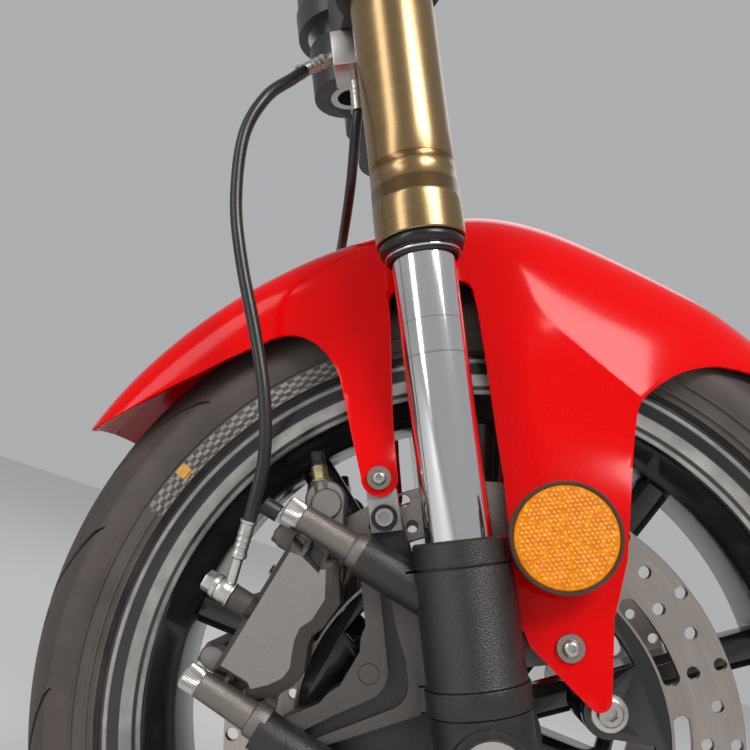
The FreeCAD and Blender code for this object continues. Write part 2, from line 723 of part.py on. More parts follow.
def wheel_rim():
    """Cast wheel: rim barrel, hub, tapered spokes and the bosses for the disc bolts."""
    barrel = turned("rim_barrel", rim_outline(), "XY_Plane")
    hub = rod("hub_barrel", "dims.hub_radius", "dims.hub_half_width * 2",
              y="-dims.hub_half_width", rotation=ALONG_Y)
    root, tip = size.spoke_root_radius, value(f"{RIM_WELL} - dims.rim_wall / 2")
    sections = []
    for radius, width, depth in ((root, size.spoke_root_width, size.spoke_root_depth),
                                 (tip, size.spoke_tip_width, size.spoke_tip_depth)):
        chamfer = width / 4
        half_width, half_depth = width / 2, depth / 2
        ring = [(half_width, half_depth - chamfer), (half_width - chamfer, half_depth),
                (chamfer - half_width, half_depth), (-half_width, half_depth - chamfer)]
        ring += [(-across, -along) for across, along in ring]
        points = [Vector(radius, along, across) for across, along in ring]
        sections.append(Part.makePolygon(points + points[:1]))
    spoke = doc.addObject("Part::Feature", "spoke")
    spoke.Shape = Part.makeLoft(sections, True, True)
    spokes = around("spokes", spoke, size.spoke_count, size.spoke_phase)
    pieces = [barrel, hub, spokes]
    holes = [rod("hub_core", "dims.hub_core_radius", "dims.hub_half_width * 2",
                 y="-dims.hub_half_width", rotation=ALONG_Y)]
    for side, low, bearing_low in (
            ("right", "-dims.hub_half_width", "-dims.hub_half_width"),
            ("left", "dims.hub_half_width - dims.boss_length", "dims.hub_half_width - dims.bearing_width")):
        boss = rod(f"bolt_boss_{side}", "dims.boss_radius", "dims.boss_length",
                   x="dims.bolt_circle_radius", y=low, rotation=ALONG_Y)
        pieces.append(around(f"bolt_bosses_{side}", boss, size.bolt_count, size.bolt_phase))
        hole = rod(f"bolt_hole_{side}", "dims.bolt_shank_radius + dims.fit_gap", "dims.bolt_depth",
                   x="dims.bolt_circle_radius", y=low if side == "right" else
                   "dims.hub_half_width - dims.bolt_depth", rotation=ALONG_Y)
        holes.append(around(f"bolt_holes_{side}", hole, size.bolt_count, size.bolt_phase))
        holes.append(rod(f"bearing_seat_{side}", "dims.bearing_radius + dims.fit_gap",
                         "dims.bearing_width", y=bearing_low, rotation=ALONG_Y))
    valve = rod("valve_hole", "dims.valve_radius + dims.fit_gap", "dims.rim_wall * 3",
                rotation=ALONG_X)
    valve.setExpression("Placement.Base.x", f"{RIM_WELL} - dims.rim_wall * 1.5")
    holes.append(around("valve_holes", valve, 1, size.valve_angle))
    seat(cut("wheel_rim", fuse("wheel_solid", *pieces), fuse("wheel_holes", *holes)))


def valve():
    """Tyre valve through the rim well."""
    start = f"{RIM_WELL} + 2"
    stem = rod("valve_stem", "dims.valve_radius", "dims.valve_length", rotation=ALONG_X)
    stem.setExpression("Placement.Base.x", f"{start} - dims.valve_length")
    turned_stem = around("valve", stem, 1, size.valve_angle)
    seat(turned_stem)


def disc_slot():
    """One curved slot at the inner edge of the brake disc."""
    inner, outer = "(dims.slot_radius - dims.slot_width / 2)", "(dims.slot_radius + dims.slot_width / 2)"
    reach, height = "cos(dims.slot_half_angle)", "sin(dims.slot_half_angle)"
    return plate("disc_slot", (
        (f"{inner} * {reach}", f"-{inner} * {height}", "dims.slot_width * 0.52"),
        (f"{outer} * {reach}", f"-{outer} * {height}", outer),
        (f"{outer} * {reach}", f"{outer} * {height}", "dims.slot_width * 0.52"),
        (f"{inner} * {reach}", f"{inner} * {height}", f"-{inner}"),
    ), "-dims.disc_plane - dims.disc_thickness", "dims.disc_thickness * 2")


def brake_disc():
    """Right brake disc: a flat ring with curved slots inside three staggered rows of holes."""
    ring = turned("disc_ring", (
        ("dims.disc_inner_radius", "-dims.disc_plane - dims.disc_thickness / 2"),
        ("dims.disc_radius", "-dims.disc_plane - dims.disc_thickness / 2"),
        ("dims.disc_radius", "-dims.disc_plane + dims.disc_thickness / 2"),
        ("dims.disc_inner_radius", "-dims.disc_plane + dims.disc_thickness / 2"),
    ), "XY_Plane")
    slots = around("disc_slots", disc_slot(), size.slot_count, size.slot_phase)
    cuts = [slots]
    half_step = 180 / size.disc_hole_columns
    for row, steps, phase in (("outer", 0, half_step), ("middle", 1, 0), ("inner", 2, half_step)):
        hole = rod(f"disc_hole_{row}", "dims.disc_hole_radius", "dims.disc_thickness * 2",
                   x=f"dims.disc_radius - dims.disc_hole_edge - {steps} * dims.disc_hole_step",
                   y="-dims.disc_plane - dims.disc_thickness", rotation=ALONG_Y)
        cuts.append(around(f"disc_holes_{row}", hole, size.disc_hole_columns, size.disc_hole_phase + phase))
    seat(cut("brake_disc_right", ring, fuse("disc_cuts", *cuts)))
    mirrored("brake_disc_left", doc.getObject("brake_disc_right"))


def disc_carrier():
    """Black carrier of the right disc: a ring with five arms that end in the bolt eyes."""
    outside = "dims.disc_inner_radius - dims.seat_gap"
    inside = f"{outside} - dims.carrier_ring_width"
    outer_face = "-dims.hub_half_width - dims.carrier_thickness"
    ring = turned("carrier_ring", (
        (inside, outer_face), (outside, outer_face),
        (outside, "-dims.hub_half_width"), (inside, "-dims.hub_half_width"),
    ), "XY_Plane")
    eye = rod("carrier_eye", "dims.boss_radius", "dims.carrier_thickness", x="dims.bolt_circle_radius",
              y=outer_face, rotation=ALONG_Y)
    arm = plate("carrier_arm", (
        ("dims.bolt_circle_radius", "-dims.boss_radius"),
        (f"{inside} + 2", "-dims.boss_radius - 10"),
        (f"{inside} + 2", "dims.boss_radius + 10"),
        ("dims.bolt_circle_radius", "dims.boss_radius"),
    ), outer_face, "dims.carrier_thickness")
    arms = around("carrier_arms", fuse("carrier_arm_solid", arm, eye), size.bolt_count, size.bolt_phase)
    hole = rod("carrier_hole", "dims.bolt_shank_radius + dims.fit_gap", "dims.carrier_thickness",
               x="dims.bolt_circle_radius", y=outer_face, rotation=ALONG_Y)
    holes = around("carrier_holes", hole, size.bolt_count, size.bolt_phase)
    seat(cut("disc_carrier_right", fuse("carrier_solid", ring, arms), holes))
    mirrored("disc_carrier_left", doc.getObject("disc_carrier_right"))


def disc_bolts():
    """Flanged bolts that hold both carriers to the hub bosses."""
    face = "(dims.hub_half_width + dims.carrier_thickness)"
    bolts = []
    for side, sign, turn in (("right", -1, -1), ("left", 1, 1)):
        pieces = []
        for part, radius, low, high in (
                ("shank", "dims.bolt_shank_radius", f"{face} - dims.bolt_depth + 1", face),
                ("flange", "dims.bolt_flange_radius", face, f"{face} + dims.bolt_flange_thickness"),
                ("head", "dims.bolt_head_radius", face, f"{face} + dims.bolt_head_height")):
            start = low if sign > 0 else f"-({high})"
            pieces.append(rod(f"disc_bolt_{part}_{side}", radius, f"{high} - ({low})",
                              x="dims.bolt_circle_radius", y=start, rotation=ALONG_Y))
        bolt = fuse(f"disc_bolt_{side}", *pieces)
        bolts.append(around(f"disc_bolts_{side}", bolt, size.bolt_count, size.bolt_phase))
    doc.recompute()
    both = doc.addObject("Part::Feature", "disc_bolts")
    both.Shape = Part.makeCompound([solid for ring in bolts for solid in ring.Shape.Solids])
    seat(both)


# Brakes: drawn in a frame whose z runs outward along the mounting bolts

# Outlines of the caliper as shares of its half length and of its depth from front to back:
# the edge of its body, and its face, which stands out from the body between sloping sides
CALIPER_EDGE = (
    (-0.81, 1.0), (-0.82, 0.55), (-0.88, 0.42), (-0.68, 0.12), (-0.48, -0.02), (-0.28, -0.04),
    (-0.12, 0.04), (-0.01, 0.1), (0.09, 0.11), (0.21, 0.04), (0.54, 0.01), (0.94, 0.32),
    (0.89, 0.48), (0.94, 0.63), (0.94, 1.0),
)
CALIPER_FACE = (
    (-0.7, 0.88), (-0.68, 0.51), (-0.73, 0.43), (-0.58, 0.26), (-0.44, 0.15), (-0.31, 0.13),
    (-0.18, 0.2), (-0.03, 0.27), (0.11, 0.29), (0.25, 0.21), (0.51, 0.2), (0.81, 0.39),
    (0.74, 0.48), (0.79, 0.64), (0.83, 0.89),
)


def caliper_outline(shares):
    depth = "(dims.caliper_back_radius - dims.caliper_front_radius)"
    return [(f"{along} * dims.caliper_half_length", f"dims.caliper_front_radius + {deep} * {depth}")
            for along, deep in shares]


def caliper():
    """Right caliper: two halves round the disc, two bridges, and an ear for each bolt."""
    front, back, half = "dims.caliper_front_radius", "dims.caliper_back_radius", "dims.caliper_half_length"
    slot_low = "-dims.disc_plane - dims.caliper_slot_half_width - dims.disc_thickness / 2"
    slot_high = "-dims.disc_plane + dims.caliper_slot_half_width + dims.disc_thickness / 2"
    body_face = "(dims.caliper_outer_face - dims.caliper_face_height)"
    outer = plate("caliper_outer_half", caliper_outline(CALIPER_EDGE), f"-{body_face}",
                  f"{slot_low} + {body_face}")
    inner = plate("caliper_inner_half", caliper_outline(CALIPER_EDGE), slot_high,
                  f"-dims.caliper_inner_face - ({slot_high})")
    raised = doc.addObject("Part::Loft", "caliper_face")
    raised.Sections = [side_outline("caliper_face_edge", caliper_outline(CALIPER_EDGE), f"-{body_face}"),
                       side_outline("caliper_face_top", caliper_outline(CALIPER_FACE),
                                    "-dims.caliper_outer_face")]
    raised.Solid = raised.Ruled = True
    pieces = [outer, inner, raised]
    bridge_low = "dims.disc_radius + dims.bridge_clearance"
    for end, x in (("high", "dims.caliper_bolt_high - dims.mount_bolt_radius - dims.seat_gap - dims.bridge_width"),
                   ("low", "dims.caliper_bolt_low + dims.mount_bolt_radius + dims.seat_gap")):
        pieces.append(block(f"caliper_bridge_{end}", "dims.bridge_width",
                            f"{body_face} - dims.caliper_inner_face", "dims.bridge_thickness",
                            x, f"-{body_face}", bridge_low))
        for side, low, deep in (("outer", f"-{body_face}", f"{slot_low} + {body_face}"),
                                ("inner", slot_high, f"-dims.caliper_inner_face - ({slot_high})")):
            pieces.append(block(f"caliper_pillar_{end}_{side}", "dims.bridge_width", deep,
                                f"{bridge_low} + dims.bridge_thickness - ({back} - 20)",
                                x, low, f"{back} - 20"))
    for end, offset in (("high", "dims.caliper_bolt_high"), ("low", "dims.caliper_bolt_low")):
        pieces.append(rod(f"caliper_ear_{end}", "dims.caliper_ear_radius",
                          f"{back} - dims.caliper_mount_radius - dims.seat_gap", offset,
                          "-dims.caliper_bolt_plane", "dims.caliper_mount_radius + dims.seat_gap"))
    for end, near, far in (("high", f"0.8 * {half}", "dims.caliper_bolt_high + dims.caliper_ear_radius"),
                           ("low", "dims.caliper_bolt_low - dims.caliper_ear_radius", f"-0.8 * {half}")):
        pieces.append(block(f"caliper_shoulder_{end}", f"{far} - ({near})", f"{slot_low} + dims.shoulder_face",
                            f"{back} - {front} - 10", near, "-dims.shoulder_face", f"{front} + 10"))
    plug_along = "(dims.caliper_bolt_high + dims.bleed_plug_offset)"
    plug_deep = f"({back} - dims.bleed_plug_depth)"
    pieces.append(rod("bleed_plug", "dims.bleed_plug_radius", f"{slot_low} + dims.bleed_plug_face",
                      plug_along, "-dims.bleed_plug_face", plug_deep, ALONG_Y))
    pieces.append(block("bleed_shoulder", f"{plug_along} - dims.caliper_bolt_high",
                        f"{slot_low} + dims.shoulder_face", "dims.bleed_plug_radius * 2",
                        "dims.caliper_bolt_high", "-dims.shoulder_face",
                        f"{plug_deep} - dims.bleed_plug_radius"))
    pieces.append(rod("banjo_boss", "dims.banjo_radius", "20", "0", "-dims.caliper_bolt_plane",
                      f"{back} - 8"))
    seat(fuse("caliper_right", *pieces), turn="dims.caliper_lean")
    mirrored("caliper_left", doc.getObject("caliper_right"))


def brake_pads():
    """Friction pads on both faces of both discs."""
    pads = []
    for side, centre in (("right", "-dims.disc_plane"), ("left", "dims.disc_plane")):
        for face, low in (
                ("low", f"{centre} - dims.disc_thickness / 2 - dims.pad_gap - dims.pad_thickness"),
                ("high", f"{centre} + dims.disc_thickness / 2 + dims.pad_gap")):
            pads.append(block(f"pad_{side}_{face}", "dims.pad_length", "dims.pad_thickness",
                              "dims.pad_height", "-dims.pad_length / 2", low,
                              "dims.disc_radius - dims.pad_edge_gap - dims.pad_height"))
    seat(fuse("brake_pads", *pads), turn="dims.caliper_lean")


def caliper_bolts():
    """Socket screws that hold both calipers to the fork bottoms."""
    bolts = []
    for side, sign in (("right", RIGHT), ("left", LEFT)):
        for end, offset in (("high", "dims.caliper_bolt_high"), ("low", "dims.caliper_bolt_low")):
            bolts.append(rod(f"mount_bolt_{side}_{end}", "dims.mount_bolt_radius", "dims.mount_bolt_head",
                             offset, f"{sign}dims.caliper_bolt_plane",
                             "dims.caliper_back_radius + dims.seat_gap"))
    seat(fuse("caliper_bolts", *bolts), turn="dims.caliper_lean")


def banjo_fittings():
    """Ring and bolt that join each hose to the back of its caliper."""
    fittings = []
    start = "dims.caliper_back_radius + 12 + dims.seat_gap"
    for side, sign in (("right", RIGHT), ("left", LEFT)):
        plane = f"{sign}dims.caliper_bolt_plane"
        fittings.append(rod(f"banjo_ring_{side}", "dims.banjo_radius", "dims.banjo_height",
                            "0", plane, start))
        fittings.append(rod(f"banjo_bolt_{side}", "dims.banjo_radius - 1.5", "dims.banjo_height + 7",
                            "0", plane, start))
    seat(fuse("banjo_fittings", *fittings), turn="dims.caliper_lean")


# Brake hoses: (forward, left, up) points in the fork's frame

RIGHT_HOSE = ((-126.5, -100.5, 110.8), (-113.5, -105, 140), (-101, -106, 186), (-99, -106, 236),
              (-105, -105, 290), (-104, -104, 341), (-92, -102, 384), (-74, -78, 426), (-42.1, -69, 435))
LEFT_HOSE = ((-126.5, 100.5, 110.8), (-115, 105, 141), (-105, 108, 186), (-103, 107, 232),
             (-104, 101, 276), (-97, 82, 318), (-78, 47, 347), (-58, 8, 363), (-43, -28, 374),
             (-27, -63, 392), (-27, -63, 423.7))


def hose(name, points):
    """Round hose along straight runs joined by tangent arcs."""
    places = [Vector(*point) for point in points]
    edges, start, radii = [], places[0], []
    for before, here, after in zip(places, places[1:], places[2:]):
        incoming, outgoing = (here - before), (after - here)
        half_turn = incoming.getAngle(outgoing) / 2
        tangent = 0.45 * min(incoming.Length, outgoing.Length)
        radii.append(tangent / math.tan(half_turn))
        incoming.normalize()
        outgoing.normalize()
        arc_start, arc_end = here - incoming * tangent, here + outgoing * tangent
        bisector = (outgoing - incoming).normalize()
        sagitta = radii[-1] / math.cos(half_turn) - radii[-1]
        edges.append(Part.LineSegment(start, arc_start).toShape())
        edges.append(Part.Arc(arc_start, here + bisector * sagitta, arc_end).toShape())
        start = arc_end
    edges.append(Part.LineSegment(start, places[-1]).toShape())
    path = Part.Wire(edges)
    section = Part.Wire(Part.makeCircle(size.hose_radius, places[0], places[1] - places[0]))
    tube = doc.addObject("Part::Feature", name)
    tube.Shape = path.makePipeShell([section], True, False)
    expected = math.pi * size.hose_radius ** 2 * path.Length
    print(f"{name}: length {path.Length:.0f}, tightest arc {min(radii):.0f}, "
          f"volume {tube.Shape.Volume / expected:.3f} of section times length")
    seat(tube)


def hose_union():
    """Block under the lower clamp where the feed line meets both hoses."""
    low = f"{LOWER_CLAMP_LOW} - dims.union_height"
    union = block("union_block", "dims.union_length", "dims.union_length", "dims.union_height",
                  "-dims.union_behind", "-dims.union_side", low)
    port = rod("union_port", "dims.union_port_radius", "dims.union_port_depth",
               "-dims.union_behind", "dims.union_length - dims.union_side - dims.union_port_radius - 1.5",
               f"{LOWER_CLAMP_LOW} - dims.union_height / 2", ALONG_X)
    seat(cut("hose_union", union, port))


# Mudguard

# angle, crown height over the tyre, crown half width and height, shoulder and edge the same
GUARD_STATIONS = (
    (136, 23, 41, 18, 54, 12, 56, 7),
    (128, 24, 43, 20, 58, 12, 61, -5),
    (118, 25, 45, 21, 61, 11, 65, -15),
    (109, 26, 47, 22, 63, 11, 68, -23),
    (100, 29, 48, 25, 65, 13, 70, -31),
    (90, 39, 47, 31, 66, 16, 73, -31),
    (83, 47, 47, 36, 67, 20, 74, -30),
    (72, 39, 44, 27, 66, 10, 75, -43),
    (63, 25, 41, 17, 61, -3, 71, -58),
    (54, 19, 38, 12, 56, -7, 63, -53),
    (47, 17, 34, 9, 52, -7, 57, -18),
    (41, 16, 29, 11, 42, 1, 45, -2),
    (35, 16.5, 18, 13, 27, 8, 28, 6.5),
    (32, 17, 11, 16, 17, 13, 18, 11.5),
)


def guard_section(station):
    """Closed section of the crown at one angle round the axle: outside, then back inside."""
    angle, crown, top_half, top_radius, shoulder_half, shoulder_radius, edge_half, edge_radius = station
    turn, tread = math.radians(angle), value(TYRE_RADIUS)
    curves = []
    for inset, sign in ((0, 1), (size.guard_thickness, -1)):
        slanted = inset * 0.7
        top = (top_half, top_radius - inset)
        bulge = ((top_half + shoulder_half) / 2 + 2 - slanted, (top_radius + shoulder_radius) / 2 + 2 - slanted)
        shoulder = (shoulder_half - inset, shoulder_radius - inset / 2)
        edge = (edge_half - inset, edge_radius)

        def point(spot, side):
            reach = tread + spot[1]
            return Vector(reach * math.cos(turn), spot[0] * side * sign, reach * math.sin(turn))

        curves += [
            Part.LineSegment(point(edge, -1), point(shoulder, -1)),
            Part.Arc(point(shoulder, -1), point(bulge, -1), point(top, -1)),
            Part.Arc(point(top, -1), point((0, crown - inset), 1), point(top, 1)),
            Part.Arc(point(top, 1), point(bulge, 1), point(shoulder, 1)),
            Part.LineSegment(point(shoulder, 1), point(edge, 1)),
        ]
        inner_edge = (edge_half - (size.guard_thickness - inset), edge_radius)
        curves.append(Part.LineSegment(point(edge, 1), point(inner_edge, 1)))
    return Part.Wire([curve.toShape() for curve in curves])


# Struts of the mudguard: (height, points of the outer face as (x, y)), from the crown down
TREAD = value(TYRE_RADIUS)
FRONT_STRUT = (
    (TREAD - 5, ((18, -71), (56, -71), (130, -66))),
    (TREAD - 108, ((20, -75), (53, -79), (130, -74))),
    (68, ((20, -size.front_pad_face), (50, -size.front_pad_face), (95, -size.front_pad_face))),
    (8, ((20, -size.front_pad_face), (50, -size.front_pad_face), (95, -size.front_pad_face))),
)
REAR_STRUT = (
    (TREAD - 18, ((-105, -64), (-18, -70))),
    (TREAD - 68, ((-105, -66), (-18, -78))),
    (164, ((-105, -size.rear_pad_face), (-18, -size.rear_pad_face))),
    (140, ((-105, -size.rear_pad_face), (-18, -size.rear_pad_face))),
)


def strut_face(levels, x, height):
    """How far out the outer face of a strut lies at one place."""
    for (top, top_row), (low, low_row) in zip(levels, levels[1:]):
        if low <= height <= top:
            share = (top - height) / (top - low)
            row = [(a[0] + (b[0] - a[0]) * share, a[1] + (b[1] - a[1]) * share)
                   for a, b in zip(top_row, low_row)]
            for (x0, y0), (x1, y1) in zip(row, row[1:]):
                if x0 <= x <= x1:
                    return -(y0 + (y1 - y0) * (x - x0) / (x1 - x0))
    raise ValueError(f"no strut at {x}, {height}")


def sheet_between(levels):
    """Bent sheet through the levels of a strut, as thick as the mudguard."""
    wires = []
    for height, row in levels:
        outer = [Vector(x, y, height) for x, y in row]
        inner = [Vector(x, y + size.guard_thickness, height) for x, y in reversed(row)]
        wires.append(Part.makePolygon(outer + inner + outer[:1]))
    return Part.makeLoft(wires, True, True)


def mudguard():
    """Mudguard shell: a crown over the tyre and a front and rear strut down each leg."""
    crown = doc.addObject("Part::Feature", "guard_crown")
    crown.Shape = Part.makeLoft([guard_section(station) for station in GUARD_STATIONS], True, True)
    front_sheet = doc.addObject("Part::Feature", "front_strut_sheet")
    front_sheet.Shape = sheet_between(FRONT_STRUT)
    front_outline = plate("front_strut_outline", (
        ("28", f"{TYRE_RADIUS} - 13"), ("30", "147"), ("27", "80"), ("32", "54"), ("59", "18", "6"),
        ("69", "20"), ("80", "64"), ("91", "94"), ("108", f"{TYRE_RADIUS} - 121"),
        ("122", f"{TYRE_RADIUS} - 105"), ("118", f"{TYRE_RADIUS} - 53"), ("60", f"{TYRE_RADIUS} - 13"),
    ), "-140", "90")
    front = doc.addObject("Part::Common", "front_strut")
    front.Base, front.Tool = front_sheet, front_outline
    rear_sheet = doc.addObject("Part::Feature", "rear_strut_sheet")
    rear_sheet.Shape = sheet_between(REAR_STRUT)
    rear_outline = plate("rear_strut_outline", (
        ("-96", f"{TYRE_RADIUS} - 21"), ("-92", f"{TYRE_RADIUS} - 37"), ("-82", f"{TYRE_RADIUS} - 37", "-22"),
        ("-60", f"{TYRE_RADIUS} - 57"), ("-57", f"{TYRE_RADIUS} - 71"), ("-49.5", "158"),
        ("-49.8", "154.5", "10"), ("-29.8", "154.5"), ("-28", "190"), ("-23", f"{TYRE_RADIUS} - 21"),
    ), "-140", "90")
    rear = doc.addObject("Part::Common", "rear_strut")
    rear.Base, rear.Tool = rear_sheet, rear_outline
    doc.recompute()
    half = fuse("mudguard_half", front, rear)
    other = doc.addObject("Part::Mirroring", "mudguard_other_half")
    other.Source = half
    other.Normal = Vector(0, 1, 0)
    seat(fuse("mudguard", crown, half, other))


def mudguard_brackets():
    """Plate between the upper caliper arm and the rear strut of the mudguard."""
    right = plate("mudguard_bracket_plate", (
        ("-48", "dims.bracket_bolt_up - 8"), ("-30", "dims.bracket_bolt_up - 8"),
        ("-31", "dims.rear_bolt_up + 8"), ("-48", "dims.rear_bolt_up + 8"),
    ), f"-{BRACKET_FACE}", "dims.bracket_thickness")
    seat(right)
    right.Label = "mudguard_bracket_right"
    mirrored("mudguard_bracket_left", right)


def mudguard_bolts():
    """Button-head bolts: front strut, rear strut and bracket, on both sides."""
    bolts = []
    for side, sign in (("right", -1), ("left", 1)):
        for spot, x, z, face in (
                ("front", "dims.front_bolt_ahead", "dims.front_bolt_up", "dims.front_pad_face"),
                ("rear", "-dims.rear_bolt_behind", "dims.rear_bolt_up", "dims.rear_pad_face"),
                ("bracket", "-dims.rear_bolt_behind", "dims.bracket_bolt_up", BRACKET_FACE)):
            low, height = f"{face} + dims.seat_gap", "dims.guard_bolt_head_height"
            start = low if sign > 0 else f"-({low}) - {height}"
            bolts.append(rod(f"guard_bolt_{spot}_{side}", "dims.guard_bolt_head_radius", height,
                             x, start, z, ALONG_Y))
    seat(fuse("mudguard_bolts", *bolts))


def reflectors():
    """Round side reflectors, each on a stem from the front strut."""
    pieces = []
    strut = strut_face(FRONT_STRUT, size.reflector_ahead, size.reflector_up - size.reflector_stem_radius)
    for side, sign in (("right", -1), ("left", 1)):
        face, back = "dims.reflector_face", "(dims.reflector_face - dims.reflector_thickness)"
        for part, radius, low, high in (
                ("lens", "dims.reflector_radius", back, face),
                ("stem", "dims.reflector_stem_radius", f"{strut} + dims.seat_gap", back)):
            start = low if sign > 0 else f"-({high})"
            pieces.append(rod(f"reflector_{part}_{side}", radius, f"{high} - ({low})",
                              "dims.reflector_ahead", start, "dims.reflector_up", ALONG_Y))
    seat(fuse("reflectors", *pieces))


head_tube()
steering_bearings()
steering_stem()
clamp("lower_clamp", LOWER_CLAMP_LOW, "dims.lower_clamp_thickness")
clamp("upper_clamp", UPPER_CLAMP_LOW, "dims.upper_clamp_thickness")
stem_nut()
fork_tube()
dust_seals()
fork_caps()
chrome_tube()
fork_bottom()
axle()
wheel_spacers()
wheel_bearings()
tyre()
wheel_rim()
valve()
brake_disc()
disc_carrier()
disc_bolts()
caliper()
brake_pads()
caliper_bolts()
banjo_fittings()
hose("brake_hose_right", RIGHT_HOSE)
hose("brake_hose_left", LEFT_HOSE)
hose_union()
mudguard()
mudguard_brackets()
mudguard_bolts()
reflectors()

doc.recompute()
broken = [item.Name for item in doc.Objects if {"Invalid", "Error"} & set(item.State)]
if broken:
    raise RuntimeError(f"objects in error: {broken}")
os.makedirs("parts", exist_ok=True)
for piece in SUBPARTS:
    shape = piece.Shape
    if shape.isNull() or not shape.isValid() or not shape.Solids:
        raise RuntimeError(f"{piece.Label} has no valid solid")
    shape.exportStep(f"parts/{piece.Label}.step")
    print(f"{piece.Label}: {len(shape.Solids)} solid(s), {shape.Volume / 1000:.1f} cm3")
print(f"{len(SUBPARTS)} sub-parts")
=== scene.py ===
"""Looks of the sport bike front end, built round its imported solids."""

import json
import math

import bpy
from mathutils import Matrix, Vector


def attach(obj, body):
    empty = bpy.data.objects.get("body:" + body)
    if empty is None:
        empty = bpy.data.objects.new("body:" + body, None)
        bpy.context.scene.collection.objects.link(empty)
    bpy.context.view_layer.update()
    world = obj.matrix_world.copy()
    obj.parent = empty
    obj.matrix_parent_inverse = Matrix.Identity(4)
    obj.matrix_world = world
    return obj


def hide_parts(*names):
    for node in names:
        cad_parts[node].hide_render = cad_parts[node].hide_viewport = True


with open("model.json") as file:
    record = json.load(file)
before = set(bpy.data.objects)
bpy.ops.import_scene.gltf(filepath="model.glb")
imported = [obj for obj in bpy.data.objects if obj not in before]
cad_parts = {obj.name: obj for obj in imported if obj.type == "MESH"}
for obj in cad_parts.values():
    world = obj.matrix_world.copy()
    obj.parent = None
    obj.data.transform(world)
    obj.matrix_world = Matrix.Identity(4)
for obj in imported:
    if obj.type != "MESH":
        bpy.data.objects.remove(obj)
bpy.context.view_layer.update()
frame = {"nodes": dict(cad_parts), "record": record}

RAKE = math.radians(24.5)
AXLE = Vector((0.262176, 0, -0.498128))
FORK = Matrix.Translation(AXLE) @ Matrix.Rotation(-RAKE, 4, "Y")
WHEEL_RADIUS = 0.293
FLOOR = AXLE.z - WHEEL_RADIUS


# Camera, floor and light

# Fitted to the photo: its width, focal length and optical centre in pixels
PHOTO, FOCAL, CENTRE = 750, 761.73, (373.39, 442.82)
SENSOR = 36


def place_camera():
    """Camera of the photo, whose place and axes are known in the fork's frame."""
    right = Vector((0.99237, 0.05260, -0.11155))
    down = Vector((-0.11766, 0.13281, -0.98413))
    ahead = Vector((-0.03695, 0.98975, 0.13798))
    eye = Vector((-0.0248, -0.5261, 0.1152))
    turn = Matrix((right, -down, -ahead)).transposed().to_4x4()
    bpy.ops.object.camera_add()
    camera = bpy.context.object
    camera.matrix_world = FORK @ Matrix.Translation(eye) @ turn
    camera.data.sensor_width = SENSOR
    camera.data.lens = SENSOR * FOCAL / PHOTO
    camera.data.shift_x = (PHOTO / 2 - CENTRE[0]) / PHOTO
    camera.data.shift_y = (CENTRE[1] - PHOTO / 2) / PHOTO
    camera.data.clip_start = 0.02
    bpy.context.scene.camera = camera


def area_light(name, place, size, power):
    """Rectangular light aimed at the wheel."""
    bpy.ops.object.light_add(type="AREA", location=place)
    light = bpy.context.object
    light.name = name
    light.rotation_euler = (AXLE - Vector(place)).to_track_quat("-Z", "Y").to_euler()
    light.data.shape = "RECTANGLE"
    light.data.size, light.data.size_y = size
    light.data.energy = power


def studio():
    """Pale floor, even grey surroundings and three soft lights."""
    bpy.ops.mesh.primitive_plane_add(size=12, location=(0, 0, FLOOR))
    floor = bpy.context.object
    floor.name = "floor"
    floor.data.materials.append(Bench("floor_pale", (0.78, 0.77, 0.76), 0.7).done())
    bpy.ops.object.transform_apply(location=True)
    world = bpy.data.worlds.new("studio")
    bpy.context.scene.world = world
    world.use_nodes = True
    sky = world.node_tree.nodes["Background"]
    sky.inputs["Color"].default_value = (0.84, 0.85, 0.87, 1)
    sky.inputs["Strength"].default_value = 0.5
    area_light("key", (0.9, -1.7, 1.5), (1.1, 0.8), 44)
    area_light("fill", (-1.5, -1.5, 0.2), (0.5, 1.6), 13)
    area_light("back", (0.2, 1.9, 1.4), (1.8, 1.2), 6)
    bpy.context.scene.view_settings.view_transform = "Standard"


# Materials

